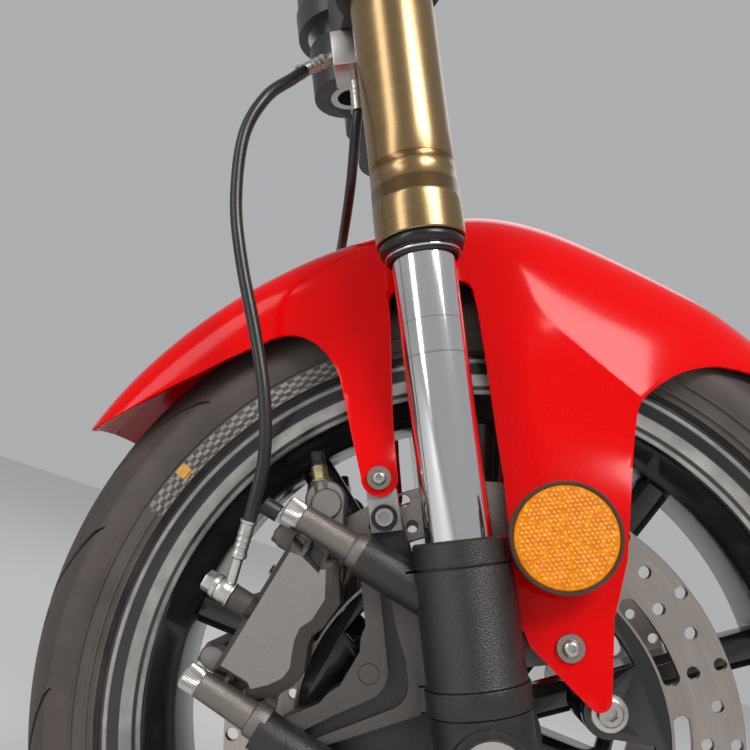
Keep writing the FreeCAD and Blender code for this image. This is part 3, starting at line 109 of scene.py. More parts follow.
class Bench:
    """Node work on one material, with the coordinates that its patterns follow."""

    def __init__(self, name, colour, roughness, metallic=0.0, more=()):
        self.material = bpy.data.materials.new(name)
        self.material.use_nodes = True
        self.nodes, self.links = self.material.node_tree.nodes, self.material.node_tree.links
        self.shader = self.nodes["Principled BSDF"]
        self.colour, self.roughness, self.metal, self.relief = (*colour, 1), roughness, metallic, None
        for socket, amount in (("Base Color", self.colour), ("Roughness", roughness), ("Metallic", metallic), *more):
            self.shader.inputs[socket].default_value = amount
        self.coordinates = self.node("ShaderNodeTexCoord")
        self.place = self.coordinates.outputs["Object"]

    def node(self, kind, inputs=(), **settings):
        """New node with its settings, then its inputs fed from {socket: source}."""
        node = self.nodes.new(kind)
        for key, setting in settings.items():
            setattr(node, key, setting)
        for socket, source in dict(inputs).items():
            if isinstance(source, bpy.types.NodeSocket):
                self.links.new(source, node.inputs[socket])
            else:
                node.inputs[socket].default_value = source
        return node

    def sum(self, operation, *values):
        return self.node("ShaderNodeMath", enumerate(values), operation=operation).outputs[0]

    def times(self, value, factor):
        return self.sum("MULTIPLY", value, factor)

    def point(self, *values):
        """Coordinates put together from up to three values."""
        return self.node("ShaderNodeCombineXYZ", enumerate(values)).outputs[0]

    def fork_place(self):
        """Distances from the axle in the fork's frame, in metres."""
        lean = FORK.inverted()
        turn = self.node("ShaderNodeMapping", {
            "Vector": self.place, "Location": lean.translation, "Rotation": lean.to_euler()}, vector_type="POINT")
        self.x, self.y, self.z = self.node("ShaderNodeSeparateXYZ", {0: turn.outputs[0]}).outputs
        self.side = self.sum("ABSOLUTE", self.y)

    def wheel_place(self):
        """Radius from the axle, angle round it, and distance from the wheel's middle."""
        self.fork_place()
        self.radius = self.sum("SQRT", self.sum("ADD", self.times(self.x, self.x), self.times(self.z, self.z)))
        self.angle = self.sum("ARCTAN2", self.z, self.x)

    def span(self, value, low, high, soft=0.0003):
        """1 between two limits, in metres or radians, 0 outside them."""
        edges = [self.node("ShaderNodeMapRange", {0: value, 1: edge - soft, 2: edge + soft}).outputs[0]
                 for edge in (low, high)]
        return self.sum("SUBTRACT", *edges)

    def both(self, *masks):
        result = masks[0]
        for mask in masks[1:]:
            result = self.times(result, mask)
        return result

    def noise(self, scale, detail=3, place=None, low=0.0, high=1.0):
        cloud = self.node("ShaderNodeTexNoise", {"Vector": place or self.place, "Scale": scale, "Detail": detail})
        return self.node("ShaderNodeMapRange", {0: cloud.outputs[0], 1: 0.3, 2: 0.7, 3: low, 4: high}).outputs[0]

    def stripes(self, value, scale):
        """Waves along one value."""
        sockets = {"Vector": self.point(value), "Scale": scale}
        return self.node("ShaderNodeTexWave", sockets, bands_direction="X").outputs["Color"]

    def tint(self, colour, amount):
        """Mix another colour over what is there."""
        sockets = {0: amount, 6: self.colour, 7: (*colour, 1)}
        self.colour = self.node("ShaderNodeMix", sockets, data_type="RGBA").outputs[2]

    def turn_to(self, what, value, amount):
        """Mix roughness or metal towards a value."""
        blend = self.node("ShaderNodeMix", {0: amount, 2: getattr(self, what), 3: value})
        setattr(self, what, blend.outputs[0])

    def raise_by(self, height, strength, reach=0.0005):
        """Bump from a height, over what relief there is."""
        sockets = {"Strength": strength, "Distance": reach, "Height": height}
        if self.relief:
            sockets["Normal"] = self.relief
        self.relief = self.node("ShaderNodeBump", sockets).outputs[0]

    def done(self):
        for socket, source in (("Base Color", self.colour), ("Roughness", self.roughness),
                               ("Metallic", self.metal), ("Normal", self.relief)):
            if isinstance(source, bpy.types.NodeSocket):
                self.links.new(source, self.shader.inputs[socket])
        return self.material


def handled(bench, grain, bump, dust=(0.2, 0.18, 0.16), dusty=0.12, rough=0.12):
    """What every finish gets: fine grain, uneven sheen and a little road dust."""
    bench.raise_by(bench.noise(grain, 4), bump, 0.0004)
    bench.tint(dust, bench.noise(26, 5, low=0, high=dusty))
    bench.turn_to("roughness", min(0.95, bench.shader.inputs["Roughness"].default_value + 0.3),
                  bench.noise(48, 4, low=0, high=rough))
    return bench.done()


def red_paint():
    """Solid red gloss with a faint orange peel and a few specks."""
    bench = Bench("red_paint", (0.74, 0.0004, 0.0012), 0.1, 0.0, (
        ("Specular IOR Level", 0.13), ("Coat Weight", 0.05), ("Coat Roughness", 0.03)))
    bench.raise_by(bench.noise(240, 1), 0.02, 0.0003)
    bench.tint((0.60, 0.0005, 0.001), bench.noise(6, 3, low=0, high=0.3))
    bench.turn_to("roughness", 0.2, bench.noise(34, 6, low=0, high=0.4))
    bench.tint((0.80, 0.20, 0.16), bench.noise(1300, 2, low=-2.8, high=0.2))
    return bench.done()


def tyre_rubber():
    """Rubber with a band of checks, a paint dot, fine rings at the bead and fine teeth above them."""
    bench = Bench("tyre_rubber", (0.046, 0.036, 0.032), 0.62, 0.0, [("Specular IOR Level", 0.35)])
    bench.wheel_place()
    sidewall = bench.span(bench.radius, 0.2465, 0.2655, 0.0008)
    check_band = bench.span(bench.radius, 0.2345, 0.2465, 0.0003)
    bench.tint((0.075, 0.062, 0.056), bench.both(sidewall, bench.noise(14, 4, low=0.3, high=1)))
    bench.tint((0.016, 0.014, 0.014), bench.span(bench.radius, 0.20, 0.2345, 0.0003))
    bench.tint((0.10, 0.088, 0.08), bench.both(check_band, bench.noise(40, 5, low=0.35, high=0.8)))
    squares = bench.point(bench.times(bench.angle, 52), bench.times(bench.radius, 440))
    checks = bench.node("ShaderNodeTexChecker", {
        "Vector": squares, "Color1": (1, 1, 1, 1), "Color2": (0, 0, 0, 1), "Scale": 1.0})
    arcs = bench.sum("ADD", bench.span(bench.angle, math.radians(97), math.radians(140), 0.01),
                     bench.span(bench.angle, math.radians(-83), math.radians(-40), 0.01))
    checkered = bench.both(bench.span(bench.radius, 0.2352, 0.2456, 0.0002), arcs)
    bench.tint((0.085, 0.078, 0.072), checkered)
    worn = bench.noise(300, 3, low=0.45, high=1)
    bench.tint((0.36, 0.35, 0.34), bench.both(checkered, checks.outputs["Color"], worn))
    dot = bench.both(bench.span(bench.radius, 0.2375, 0.2455, 0.0003),
                     bench.span(bench.angle, math.radians(131.8), math.radians(133.7), 0.001),
                     bench.span(bench.y, -0.06, -0.03, 0.001))
    bench.tint((0.82, 0.42, 0.06), bench.both(dot, bench.noise(500, 2, low=0.6, high=1)))
    for value, scale, low, high, strength, reach in (
            (bench.radius, 260, 0.231, 0.2348, 0.5, 0.0006), (bench.angle, 95, 0.2348, 0.2372, 0.35, 0.0005)):
        band = bench.span(bench.radius, low, high, 0.0002)
        bench.raise_by(bench.both(bench.stripes(value, scale), band), strength, reach)
    return handled(bench, 950, 0.16, dust=(0.16, 0.13, 0.11), dusty=0.25)


def gloss_black():
    """Painted wheel with a machined band on its rim that also stands in for the light its inner lip reflects, and
    painted highlights on the rim's lip and on the far rim's inner edge.
    """
    bench = Bench("gloss_black", (0.011, 0.010, 0.010), 0.16, 0.0, (("Coat Weight", 0.3), ("Coat Roughness", 0.06)))
    bench.wheel_place()
    # The wide band is machined metal and also a painted reflection of the inner lip; the thin band and the edge band
    # are painted highlights.
    outer = bench.span(bench.side, 0.0385, 0.06, 0.0004)
    wide = bench.both(outer, bench.span(bench.radius, 0.2125, 0.2195, 0.0003))
    lip_highlight = bench.both(outer, bench.span(bench.radius, 0.2268, 0.2292, 0.0003))
    edge = bench.both(bench.span(bench.side, 0.0385, 0.0445, 0.0004),
                      bench.span(bench.radius, 0.2062, 0.2102, 0.0004))
    machined_and_highlights = bench.sum("MINIMUM", bench.sum("ADD", bench.sum("ADD", wide, lip_highlight), edge), 1.0)
    bench.tint((0.5, 0.485, 0.46), bench.both(machined_and_highlights, bench.noise(60, 5, low=0.6, high=1)))
    bench.turn_to("metal", 1.0, machined_and_highlights)
    bench.turn_to("roughness", 0.27, machined_and_highlights)
    return handled(bench, 500, 0.025, dusty=0.04, rough=0.2)


def disc_steel():
    """Steel ground in circles round the axle, worn darker near the disc's inner edge."""
    bench = Bench("disc_steel", (0.50, 0.445, 0.40), 0.34, 1.0)
    bench.wheel_place()
    scratches = bench.noise(1, 5, bench.point(bench.times(bench.radius, 900), bench.times(bench.angle, 2.5)))
    bench.raise_by(scratches, 0.10, 0.0003)
    bench.tint((0.31, 0.2759, 0.248), bench.both(scratches, 0.5))
    worn = bench.span(bench.radius, 0.10, 0.1215, 0.002)
    bench.tint((0.33, 0.28, 0.24), bench.both(worn, bench.noise(30, 4, low=0.1, high=0.6)))
    return handled(bench, 1200, 0.05, dusty=0.1)


def gold_anodised():
    """Anodised tube, darker in its two turned grooves, with fine lines round it."""
    bench = Bench("gold_anodised", (0.345, 0.235, 0.115), 0.26, 1.0)
    bench.fork_place()
    bands = bench.sum("ADD", bench.span(bench.z, 0.3095, 0.3180, 0.0003),
                      bench.span(bench.z, 0.3280, 0.3325, 0.0003))
    bench.tint((0.155, 0.085, 0.036), bench.both(bands, 0.9))
    scratches = bench.noise(1, 4, bench.point(bench.times(bench.z, 1500), bench.times(bench.x, 30)))
    bench.raise_by(scratches, 0.05, 0.0002)
    bench.tint((0.24, 0.15, 0.068), bench.both(scratches, 0.6))
    return handled(bench, 1400, 0.03, dust=(0.2, 0.15, 0.1), dusty=0.1)


def hard_chrome():
    """Chromed tube with lines along it and two faint marks of its travel."""
    bench = Bench("hard_chrome", (0.74, 0.74, 0.75), 0.07, 1.0)
    bench.fork_place()
    rings = bench.sum("ADD", bench.span(bench.z, 0.2172, 0.2182, 0.0002),
                      bench.span(bench.z, 0.2372, 0.2379, 0.0002))
    bench.tint((0.45, 0.44, 0.42), bench.both(rings, 0.8))
    swept = bench.point(bench.times(bench.x, 1600), bench.times(bench.y, 1600), bench.times(bench.z, 6))
    bench.turn_to("roughness", 0.2, bench.noise(1, 3, swept, low=0, high=0.5))
    return handled(bench, 700, 0.008, dusty=0.05, rough=0.1)


def cast_finish(name, colour, lit_face_colour, faces, roughness, grain, metallic):
    """Blasted casting. The flat faces that look sideways and lie between two distances from the middle are painted
    lighter, as painted light on the faces that the lamps fall on, against the darker, shaded rest.
    """
    bench = Bench(name, colour, roughness, metallic)
    bench.fork_place()
    # Painted light: flat faces that look sideways are tinted lighter, as lit faces against shaded sides.
    upright = bench.node("ShaderNodeSeparateXYZ", {0: bench.coordinates.outputs["Normal"]})
    lit_flat = bench.span(bench.sum("ABSOLUTE", upright.outputs[1]), 0.97, 1.1, 0.02)
    for low, high in faces:
        bench.tint(lit_face_colour, bench.both(lit_flat, bench.span(bench.side, low, high, 0.0003)))
    bench.tint(tuple(c * 1.5 for c in lit_face_colour), bench.noise(grain, 3, low=-0.7, high=0.4))
    bench.tint(tuple(c * 0.5 for c in colour), bench.noise(grain * 0.8, 3, low=-0.6, high=0.3))
    bench.raise_by(bench.noise(grain * 0.6, 3), 0.3, 0.0005)
    return handled(bench, grain * 2, 0.1, dusty=0.05)


def amber_lens():
    """Deep amber plastic with darker and lighter prisms."""
    bench = Bench("amber_lens", (0.86, 0.26, 0.002), 0.24, 0.0, [("Specular IOR Level", 0.2)])
    bench.tint((0.5, 0.11, 0.003), bench.noise(230, 2, low=0, high=0.5))
    bench.tint((0.95, 0.45, 0.03), bench.noise(420, 2, low=-0.8, high=0.6))
    return handled(bench, 300, 0.02, dusty=0.04)


# Colour, roughness, metal, scale of the grain, its bump and the dust on it
PLAIN_FINISHES = {
    "frame_black": ((0.025, 0.025, 0.027), 0.35, 0, 900, 0.05, 0.12),
    "bearing_steel": ((0.62, 0.62, 0.62), 0.25, 1, 900, 0.01, 0.12),
    "stem_steel": ((0.5, 0.5, 0.5), 0.3, 1, 900, 0.02, 0.12),
    "clamp_black": ((0.03, 0.03, 0.033), 0.38, 0.3, 1300, 0.12, 0.12),
    "seal_rubber": ((0.008, 0.0075, 0.0075), 0.28, 0, 700, 0.04, 0.03),
    "bright_steel": ((0.55, 0.53, 0.505), 0.31, 1, 1500, 0.05, 0.2),
    "pad_material": ((0.42, 0.2, 0.11), 0.5, 0.6, 900, 0.2, 0.12),
    "hose_rubber": ((0.012, 0.011, 0.011), 0.3, 0, 1100, 0.08, 0.06),
    "zinc_gold": ((0.58, 0.5, 0.27), 0.28, 1, 900, 0.03, 0.12),
    "washer_grey": ((0.33, 0.29, 0.25), 0.34, 0.9, 1500, 0.12, 0.12),
    "zinc_plate": ((0.6, 0.59, 0.55), 0.34, 1, 1500, 0.08, 0.2),
    "reflector_black": ((0.05, 0.022, 0.012), 0.28, 0, 900, 0.05, 0.12),
}


# Colour, lighter colour painted on the flat faces as painted light, their distances from the middle, roughness, scale
# of the grain, metal
CAST_FINISHES = {
    "casting_black": ((0.014, 0.012, 0.011), (0.066, 0.058, 0.053), ((0.0962, 0.0985),), 0.27, 2200, 0),
    "caliper_grey": ((0.038, 0.033, 0.029), (0.215, 0.198, 0.185), ((0.1032, 0.105), (0.086, 0.0955)), 0.4, 2400, 0),
    "ear_metal": ((0.2, 0.178, 0.16), (0.12, 0.1, 0.09), (), 0.3, 2600, 0.75),
    "bracket_grey": ((0.30, 0.295, 0.29), (0.3, 0.295, 0.29), (), 0.5, 1800, 0.3),
}


def plain_finish(name, colour, roughness, metallic, grain, bump, dusty):
    return handled(Bench(name, colour, roughness, metallic), grain, bump, dusty=dusty)


made = {finish.__name__: finish() for finish in (
    red_paint, tyre_rubber, gloss_black, disc_steel, gold_anodised, hard_chrome, amber_lens)}
made.update({name: plain_finish(name, *values) for name, values in PLAIN_FINISHES.items()})
made.update({name: cast_finish(name, *values) for name, values in CAST_FINISHES.items()})
slots = {part["node"]: part["material_slot"] for part in frame["record"]["subparts"]}
for name, node in frame["nodes"].items():
    node.data.materials.clear()
    node.data.materials.append(made[slots[name]])


# Shop tools: pieces are drawn in millimetres in the fork's frame, then seated on the part

MM = 0.001


def spot(x, y, z):
    return Vector((x, y, z)) * MM


def moved(x, y, z):
    return Matrix.Translation(spot(x, y, z))


def around(angle, radius, across=0):
    """(x, y, z) of a place round the axle, at an angle in degrees."""
    turn = math.radians(angle)
    return radius * math.cos(turn), across, radius * math.sin(turn)


def mode(name):
    bpy.ops.object.mode_set(mode=name)


def put_down():
    """Leave edit mode with nothing selected."""
    if bpy.context.object and bpy.context.object.mode != "OBJECT":
        mode("OBJECT")
    bpy.ops.object.select_all(action="DESELECT")


def pick(piece):
    put_down()
    piece.select_set(True)
    bpy.context.view_layer.objects.active = piece
    return piece


def open_up(piece):
    """Edit mode on one piece, with all of its mesh selected."""
    pick(piece)
    mode("EDIT")
    bpy.ops.mesh.select_all(action="SELECT")


def fix_place():
    """Write the picked piece's place, turn and size into its mesh."""
    bpy.ops.object.transform_apply(location=True, rotation=True, scale=True)


def pen_line(name, points, closed=True):
    """Line drawn from one vertex, extruded from point to point. Stays in edit mode."""
    put_down()
    bpy.ops.mesh.primitive_plane_add(size=MM, location=spot(*points[0]))
    piece = bpy.context.object
    piece.name = name
    mode("EDIT")
    bpy.ops.mesh.merge(type="CENTER")
    for before, after in zip(points, points[1:]):
        bpy.ops.mesh.extrude_region_move(TRANSFORM_OT_translate={"value": spot(*after) - spot(*before)})
    bpy.ops.mesh.select_all(action="SELECT")
    if closed:
        bpy.ops.mesh.edge_face_add()
    return piece


def side_plate(name, outline, near, far):
    """Plate cut from a side view outline of (x, z), from y = near to y = far."""
    piece = pen_line(name, [(x, near, z) for x, z in outline])
    bpy.ops.mesh.extrude_region_move(TRANSFORM_OT_translate={"value": spot(0, far - near, 0)})
    bpy.ops.mesh.select_all(action="SELECT")
    bpy.ops.mesh.normals_make_consistent(inside=False)
    put_down()
    return piece


def arc(x, z, radius, first, last, steps):
    """Points of an arc in an outline, its angles in degrees."""
    turns = [math.radians(first + (last - first) * step / steps) for step in range(steps + 1)]
    return [(x + radius * math.cos(turn), z + radius * math.sin(turn)) for turn in turns]


def modifier(piece, kind, **settings):
    """Add a modifier and apply it."""
    pick(piece)
    added = piece.modifiers.new(kind.title(), kind)
    for key, setting in settings.items():
        setattr(added, key, setting)
    bpy.ops.object.modifier_apply(modifier=added.name)
    return piece


def boolean(piece, tool, operation="DIFFERENCE"):
    modifier(piece, "BOOLEAN", object=tool, operation=operation, solver="EXACT")
    bpy.data.objects.remove(tool)
    return piece


def join(name, pieces):
    put_down()
    for piece in pieces:
        piece.select_set(True)
    bpy.context.view_layer.objects.active = pieces[0]
    bpy.ops.object.join()
    pieces[0].name = name
    return pieces[0]


def settle(piece, place=Matrix()):
    """Put a piece at its place in the fork's frame, with that place in its mesh."""
    pick(piece)
    fix_place()
    piece.matrix_world = place
    fix_place()
    put_down()
    return piece


def seat(piece, body, finish, stands_for=(), smooth=40):
    """Carry a finished piece from the fork's frame to its place on the part."""
    pick(settle(piece, FORK))
    bpy.ops.object.shade_smooth_by_angle(angle=math.radians(smooth))
    piece.data.materials.clear()
    piece.data.materials.append(made[finish])
    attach(piece, body)
    if stands_for:
        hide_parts(*stands_for)
    return piece


def aim(place, direction):
    """Place whose upright line runs along a direction."""
    turn = Vector(direction).to_track_quat("Z", "Y").to_matrix().to_4x4()
    return moved(*place) @ turn


def tidy_mesh(piece, merge=0.000005):
    """Merge what meets and turn every face outward."""
    open_up(piece)
    bpy.ops.mesh.remove_doubles(threshold=merge)
    bpy.ops.mesh.normals_make_consistent(inside=False)
    put_down()
    return piece


def turned(name, profile, place=Matrix(), steps=48):
    """Piece spun from its half outline of (radius, height), then settled at its place."""
    open_line = profile[0][0] == 0 and profile[-1][0] == 0
    piece = pen_line(name, [(radius, 0, height) for radius, height in profile], closed=not open_line)
    if not open_line:
        bpy.ops.mesh.delete(type="ONLY_FACE")
    bpy.ops.mesh.select_all(action="SELECT")
    bpy.ops.mesh.spin(steps=steps, angle=math.tau, center=(0, 0, 0), axis=(0, 0, 1))
    tidy_mesh(piece)
    return settle(piece, place)


def peg(name, place, direction, radius, length, sides=32):
    """Plain round or many-sided bar that starts at a place."""
    put_down()
    bpy.ops.mesh.primitive_cylinder_add(vertices=sides, radius=radius * MM, depth=length * MM,
                                        location=spot(0, 0, length / 2))
    piece = bpy.context.object
    piece.name = name
    fix_place()
    return settle(piece, aim(place, direction))


def brick(name, low, high):
    """Plain block between two corners."""
    put_down()
    bpy.ops.mesh.primitive_cube_add(size=1, location=spot(*((a + b) / 2 for a, b in zip(low, high))),
                                    scale=spot(*(b - a for a, b in zip(low, high))))
    piece = bpy.context.object
    piece.name = name
    fix_place()
    put_down()
    return piece


def blank(node_name):
    """Merged copy of a solid, laid out in the fork's frame to be worked on."""
    source = frame["nodes"][node_name]
    piece = bpy.data.objects.new(node_name + "_worked", source.data.copy())
    bpy.context.collection.objects.link(piece)
    open_up(piece)
    bpy.ops.mesh.remove_doubles(threshold=0.00001)
    bpy.ops.mesh.dissolve_limited(angle_limit=math.radians(0.6))
    return settle(piece, FORK.inverted())


def soften(piece, width=0.8, segments=2, angle=32):
    """Round off the sharp edges, as casting and tumbling leave them."""
    return modifier(piece, "BEVEL", width=width * MM, segments=segments, limit_method="ANGLE",
                    angle_limit=math.radians(angle), harden_normals=False)


def crease(piece, places, amount):
    """Keep the edges between places sharp when the piece is smoothed."""
    pick(piece)
    mode("EDIT")
    bpy.ops.mesh.select_mode(type="EDGE")
    bpy.ops.mesh.select_all(action="DESELECT")
    mode("OBJECT")
    for edge in piece.data.edges:
        edge.select = all(any((piece.data.vertices[end].co - place).length < 0.0002 for place in places)
                          for end in edge.vertices)
    mode("EDIT")
    bpy.ops.transform.edge_crease(value=amount)
    bpy.ops.mesh.select_mode(type="VERT")
    put_down()


def twin(piece, name, matrix):
    """Copy with a mesh of its own, at another place. A mirrored one is turned right side out."""
    copy = bpy.data.objects.new(name, piece.data.copy())
    bpy.context.collection.objects.link(copy)
    settle(copy, matrix)
    if matrix.determinant() < 0:
        copy.data.flip_normals()
    return copy


ACROSS = Matrix.Scale(-1, 4, (0, 1, 0))


def both_sides(piece, base, finish, stands_for=(), smooth=40):
    """Seat a right-hand piece of the fork and its mirrored left-hand twin."""
    left = twin(piece, f"{base}_left_made", ACROSS)
    piece.name = f"{base}_right_made"
    for half, is_left in ((piece, False), (left, True)):
        names = [name for name in stands_for if name.endswith("_left") == is_left]
        seat(half, "fork", finish, names, smooth)


# Mudguard

# Angle round the axle, then (half width, radius) of the crown, its bends and its lower edge
GUARD_STATIONS = (
    (137.5, (0, 315), (22, 314), (42, 311), (54, 305), (56, 301)),
    (135, (0, 316), (23, 315), (43, 312), (56, 305), (58, 298)),
    (128, (0, 317), (24, 316), (45, 313), (60, 305), (63, 280)),
    (118, (0, 318), (25, 317), (47, 314), (63, 304), (67, 267)),
    (109, (0, 319), (27, 318), (49, 315), (65, 304), (70, 260)),
    (100, (0, 322), (28, 321), (50, 318), (67, 308), (72, 260)),
    (90, (0, 331.5), (27, 329.5), (48, 322.5), (66, 309), (73, 264)),
    (83, (0, 338), (27, 336), (48, 326.5), (66, 311), (73, 271)),
    (77, (0, 334), (27, 332), (47, 321.5), (65, 307), (74, 271)),
    (71, (0, 326.5), (26, 325), (45, 316), (63, 298), (78, 243.5)),
    (56, (0, 313), (25, 312), (41, 306), (57, 286), (79.5, 217.5)),
    (51, (0, 311), (23, 310), (38, 304.5), (54, 286), (70.5, 236)),
    (47, (0, 310), (21, 309), (35, 303), (51, 287), (60, 250)),
    (41, (0, 309.5), (17, 309), (29, 304), (41, 294), (48, 282)),
    (36, (0, 310), (12, 309.5), (20, 306), (26, 302), (29, 299.5)),
    (32.5, (0, 310), (6, 309.5), (10, 308), (13, 306.5), (15, 305)),
)
# The struts go on down from the edge at the stations from 109 to 56: rows of (x, y, z)
STRUT_ROWS = (
    ((-92, 66, 225), (-44, 73, 225), (-3, 76, 225), (29, 76.5, 236), (54.5, 80, 238), (82, 79.5, 208),
     (124, 79, 172)),
    ((-90, 83, 190), (-44, 89, 190), (-5, 80, 190), (27, 77.5, 196), (53, 82, 200), (80, 79.5, 187),
     (121, 79, 163)),
    ((-88, 98.5, 166), (-42, 99, 167), (-8, 86, 166), (25, 80, 166), (52, 85, 168), (78, 82, 165),
     (116, 79.5, 152)),
    ((-86, 98.5, 140), (-42, 98.5, 140), (-10, 94, 140), (24, 87, 140), (51, 90, 140), (74, 88, 140),
     (104, 85, 138)),
    ((-84, 98.5, 110), (-42, 98.5, 110), (-12, 98, 110), (24, 94, 110), (51, 96, 110), (72, 94, 110),
     (99, 92, 110)),
    ((-84, 98.5, 70), (-42, 98.5, 70), (-14, 99, 70), (24, 101, 70), (50, 102, 70), (70, 101.5, 70), (93, 100, 70)),
    ((-84, 98.5, 0), (-42, 98.5, 0), (-14, 99, 0), (24, 102, 0), (48, 102, 0), (66, 102, 0), (86, 101, 0)),
)
# Side view of the sheet that is kept, from the rear tip round the struts to the front tip
GUARD_OUTLINE = (
    [(-260, 260), (-222, 211)]
    + [around(angle, radius)[::2] for angle, radius in (
        (135.6, 303.5), (132.8, 296.5), (128.8, 288.5), (125.3, 283), (121.8, 278), (118, 274.5), (114.4, 271.5),
        (112, 270))]
    + [(-98, 251.5), (-91, 252.5), (-84, 252), (-77, 249.5), (-70, 244.5), (-64.5, 237.5), (-60, 229),
       (-57.5, 220)]
    + arc(-39.8, 154.5, 10.4, 170, 360, 14)
    + [(-28.3, 187), (-25.5, 222), (-23, 250), (-22.5, 262)]
    + arc(-14, 264, 8.5, 180, 90, 5) + arc(21, 264, 8.5, 90, 0, 5)
    + [(30.5, 252), (31, 222), (31, 196), (31, 147), (27, 80), (27.5, 68), (31, 54)]
    + arc(63.5, 23, 6.5, 218, 345, 8)
    + [(78, 64), (91, 94), (103, 137), (113.5, 174), (115.6, 180), (118, 183.6), (124.6, 188.6), (132, 193),
       (140.7, 197), (148, 199.6), (156, 201.3), (165, 202.2), (174, 202.2), (185, 200), (200, 195.5), (220, 187),
       (240, 177), (262, 163), (330, 200), (330, 420), (-260, 420)]
)
GUARD_WALL = 3
STRUT_START = 109
BENDS = 5


def grid(columns, rows, order, place):
    """Sheet whose corners, sorted by their coordinates in an order, are put where place says."""
    put_down()
    bpy.ops.mesh.primitive_grid_add(x_subdivisions=columns - 1, y_subdivisions=rows - 1, size=1)
    sheet = bpy.context.object
    corners = sorted(sheet.data.vertices, key=lambda v: [round(v.co[axis], 4) for axis in order])
    for index, vertex in enumerate(corners):
        vertex.co = spot(*place(index))
    return sheet


def edge_place(station, bend=BENDS):
    """Place of one bend of a station, its lower edge if none is named."""
    half, radius = station[bend]
    return around(station[0], radius, half)


def mudguard():
    """Shell drawn as a coarse sheet, smoothed, given its wall and cut to its outline."""
    first = [station[0] for station in GUARD_STATIONS].index(STRUT_START)
    columns = len(STRUT_ROWS[0])

    def shell_place(index):
        return edge_place(GUARD_STATIONS[index // BENDS], 1 + index % BENDS)

    def skirt_place(index):
        row, column = divmod(index, columns)
        return STRUT_ROWS[row - 1][column] if row else edge_place(GUARD_STATIONS[first + column])

    shell = grid(len(GUARD_STATIONS), BENDS, (0, 1), shell_place)
    skirt = grid(columns, len(STRUT_ROWS) + 1, (1, 0), skirt_place)
    shell = tidy_mesh(join("mudguard_shell", [shell, skirt]), 0.0001)
    crease(shell, [spot(*edge_place(station)) for station in GUARD_STATIONS if 50 <= station[0] <= 77], 0.9)
    crease(shell, [spot(*row[4]) for row in STRUT_ROWS[:5]], 0.7)
    modifier(shell, "SUBSURF", levels=3, render_levels=3)
    modifier(shell, "MIRROR", use_axis=(False, True, False), merge_threshold=0.0002)
    tidy_mesh(shell)
    if shell.data.polygons[0].normal.dot(shell.data.polygons[0].center) < 0:
        shell.data.flip_normals()
    modifier(shell, "SOLIDIFY", thickness=GUARD_WALL * MM, offset=-1)
    boolean(shell, side_plate("guard_outline", GUARD_OUTLINE, -150, 150), "INTERSECT")
    soften(shell, angle=50)
    return seat(shell, "fork", "red_paint", ("mudguard",), smooth=35)


# Tyre

# Centre and radius of the tread's round section
TREAD_CENTRE, TREAD_CURVE = 231, 62
TYRE_INSIDE = [(216.4, 43.8), (216.4, 30), (232, 37), (244, 46), (258, 46.5), (270, 38), (285, 20), (285, 0)]
TYRE_OUTSIDE = [
    (231.4, 44.2), (231.6, 47.6), (234, 49.2), (234.6, 50.6), (236.2, 50.8), (236.8, 50), (238.4, 50.3),
    (239, 51.6), (240.6, 51.8), (241.2, 51.2), (246.6, 52.5), (247.2, 53.6), (248.4, 53.8), (249, 53.2),
    (253, 54.3), (258, 54.6), (261.5, 53.8), (264.2, 52.5)] + arc(TREAD_CENTRE, 0, TREAD_CURVE, 54, 4, 10)
# Corners of one long and one short groove: (angle, across, half width)
GROOVES = (
    ((17, 10, 0.8), (15, 17, 1.9), (12, 27, 2.2), (8, 37, 2.1), (3.5, 45.5, 1.8), (0.8, 50, 1.6), (-0.6, 53.5, 0.8)),
    ((2, 5, 0.7), (-0.5, 13, 1.8), (-4, 22, 2), (-7.5, 31, 1.6), (-9.5, 37, 0.7)),
)
GROOVE_SETS = 16


def tread_cutter(corners, deep):
    """Curved groove cutter that follows the tread."""
    rows = []
    for angle, across, half in corners:
        crown = TREAD_CENTRE + math.sqrt(TREAD_CURVE ** 2 - across ** 2)
        lift = Vector(around(angle, crown - TREAD_CENTRE, across)) / TREAD_CURVE
        rows.append((Vector(around(angle, crown, across)), lift, half))
    put_down()
    bpy.ops.mesh.primitive_cube_add(size=MM)
    cutter = bpy.context.object
    mode("EDIT")
    bpy.ops.mesh.delete(type="VERT")
    put_down()
    verts, faces = [], []
    for index, (foot, lift, half) in enumerate(rows):
        ahead = rows[min(index + 1, len(rows) - 1)][0] - rows[max(index - 1, 0)][0]
        side = ahead.cross(lift).normalized() * half
        for out, wide in ((3, 1.15), (-deep, 0.7)):
            for sign in (-1, 1):
                verts.append((foot + lift * out + side * sign * wide) * MM)
        if index:
            a, b = 4 * (index - 1), 4 * index
            faces += [(a, a + 1, b + 1, b), (a + 3, a + 2, b + 2, b + 3),
                      (a + 2, a, b, b + 2), (a + 1, a + 3, b + 3, b + 1)]
    last = 4 * (len(rows) - 1)
    faces += [(1, 0, 2, 3), (last, last + 1, last + 3, last + 2)]
    cutter.data.from_pydata(verts, [], faces)
    return tidy_mesh(cutter)


def tyre():
    """Ring turned about the axle, with the grooves cut in both halves of its tread."""
    right_half = TYRE_INSIDE[::-1] + TYRE_OUTSIDE
    left_half = [(radius, -across) for radius, across in TYRE_OUTSIDE[::-1] + TYRE_INSIDE[:-1]]
    body = turned("tyre_made", right_half + left_half, aim((0, 0, 0), (0, 1, 0)), 180)
    pitch = 360 / GROOVE_SETS
    cutters = []
    for side in (1, -1):
        for copy in range(GROOVE_SETS):
            start = pitch * (copy + (0.5 if side < 0 else 0))
            for groove in GROOVES:
                corners = [(start + angle, across * side, half) for angle, across, half in groove]
                cutters.append(tread_cutter(corners, 3))
    body = boolean(body, join("tread_grooves", cutters))
    return seat(body, "wheel", "tyre_rubber", ("tyre",), smooth=30)


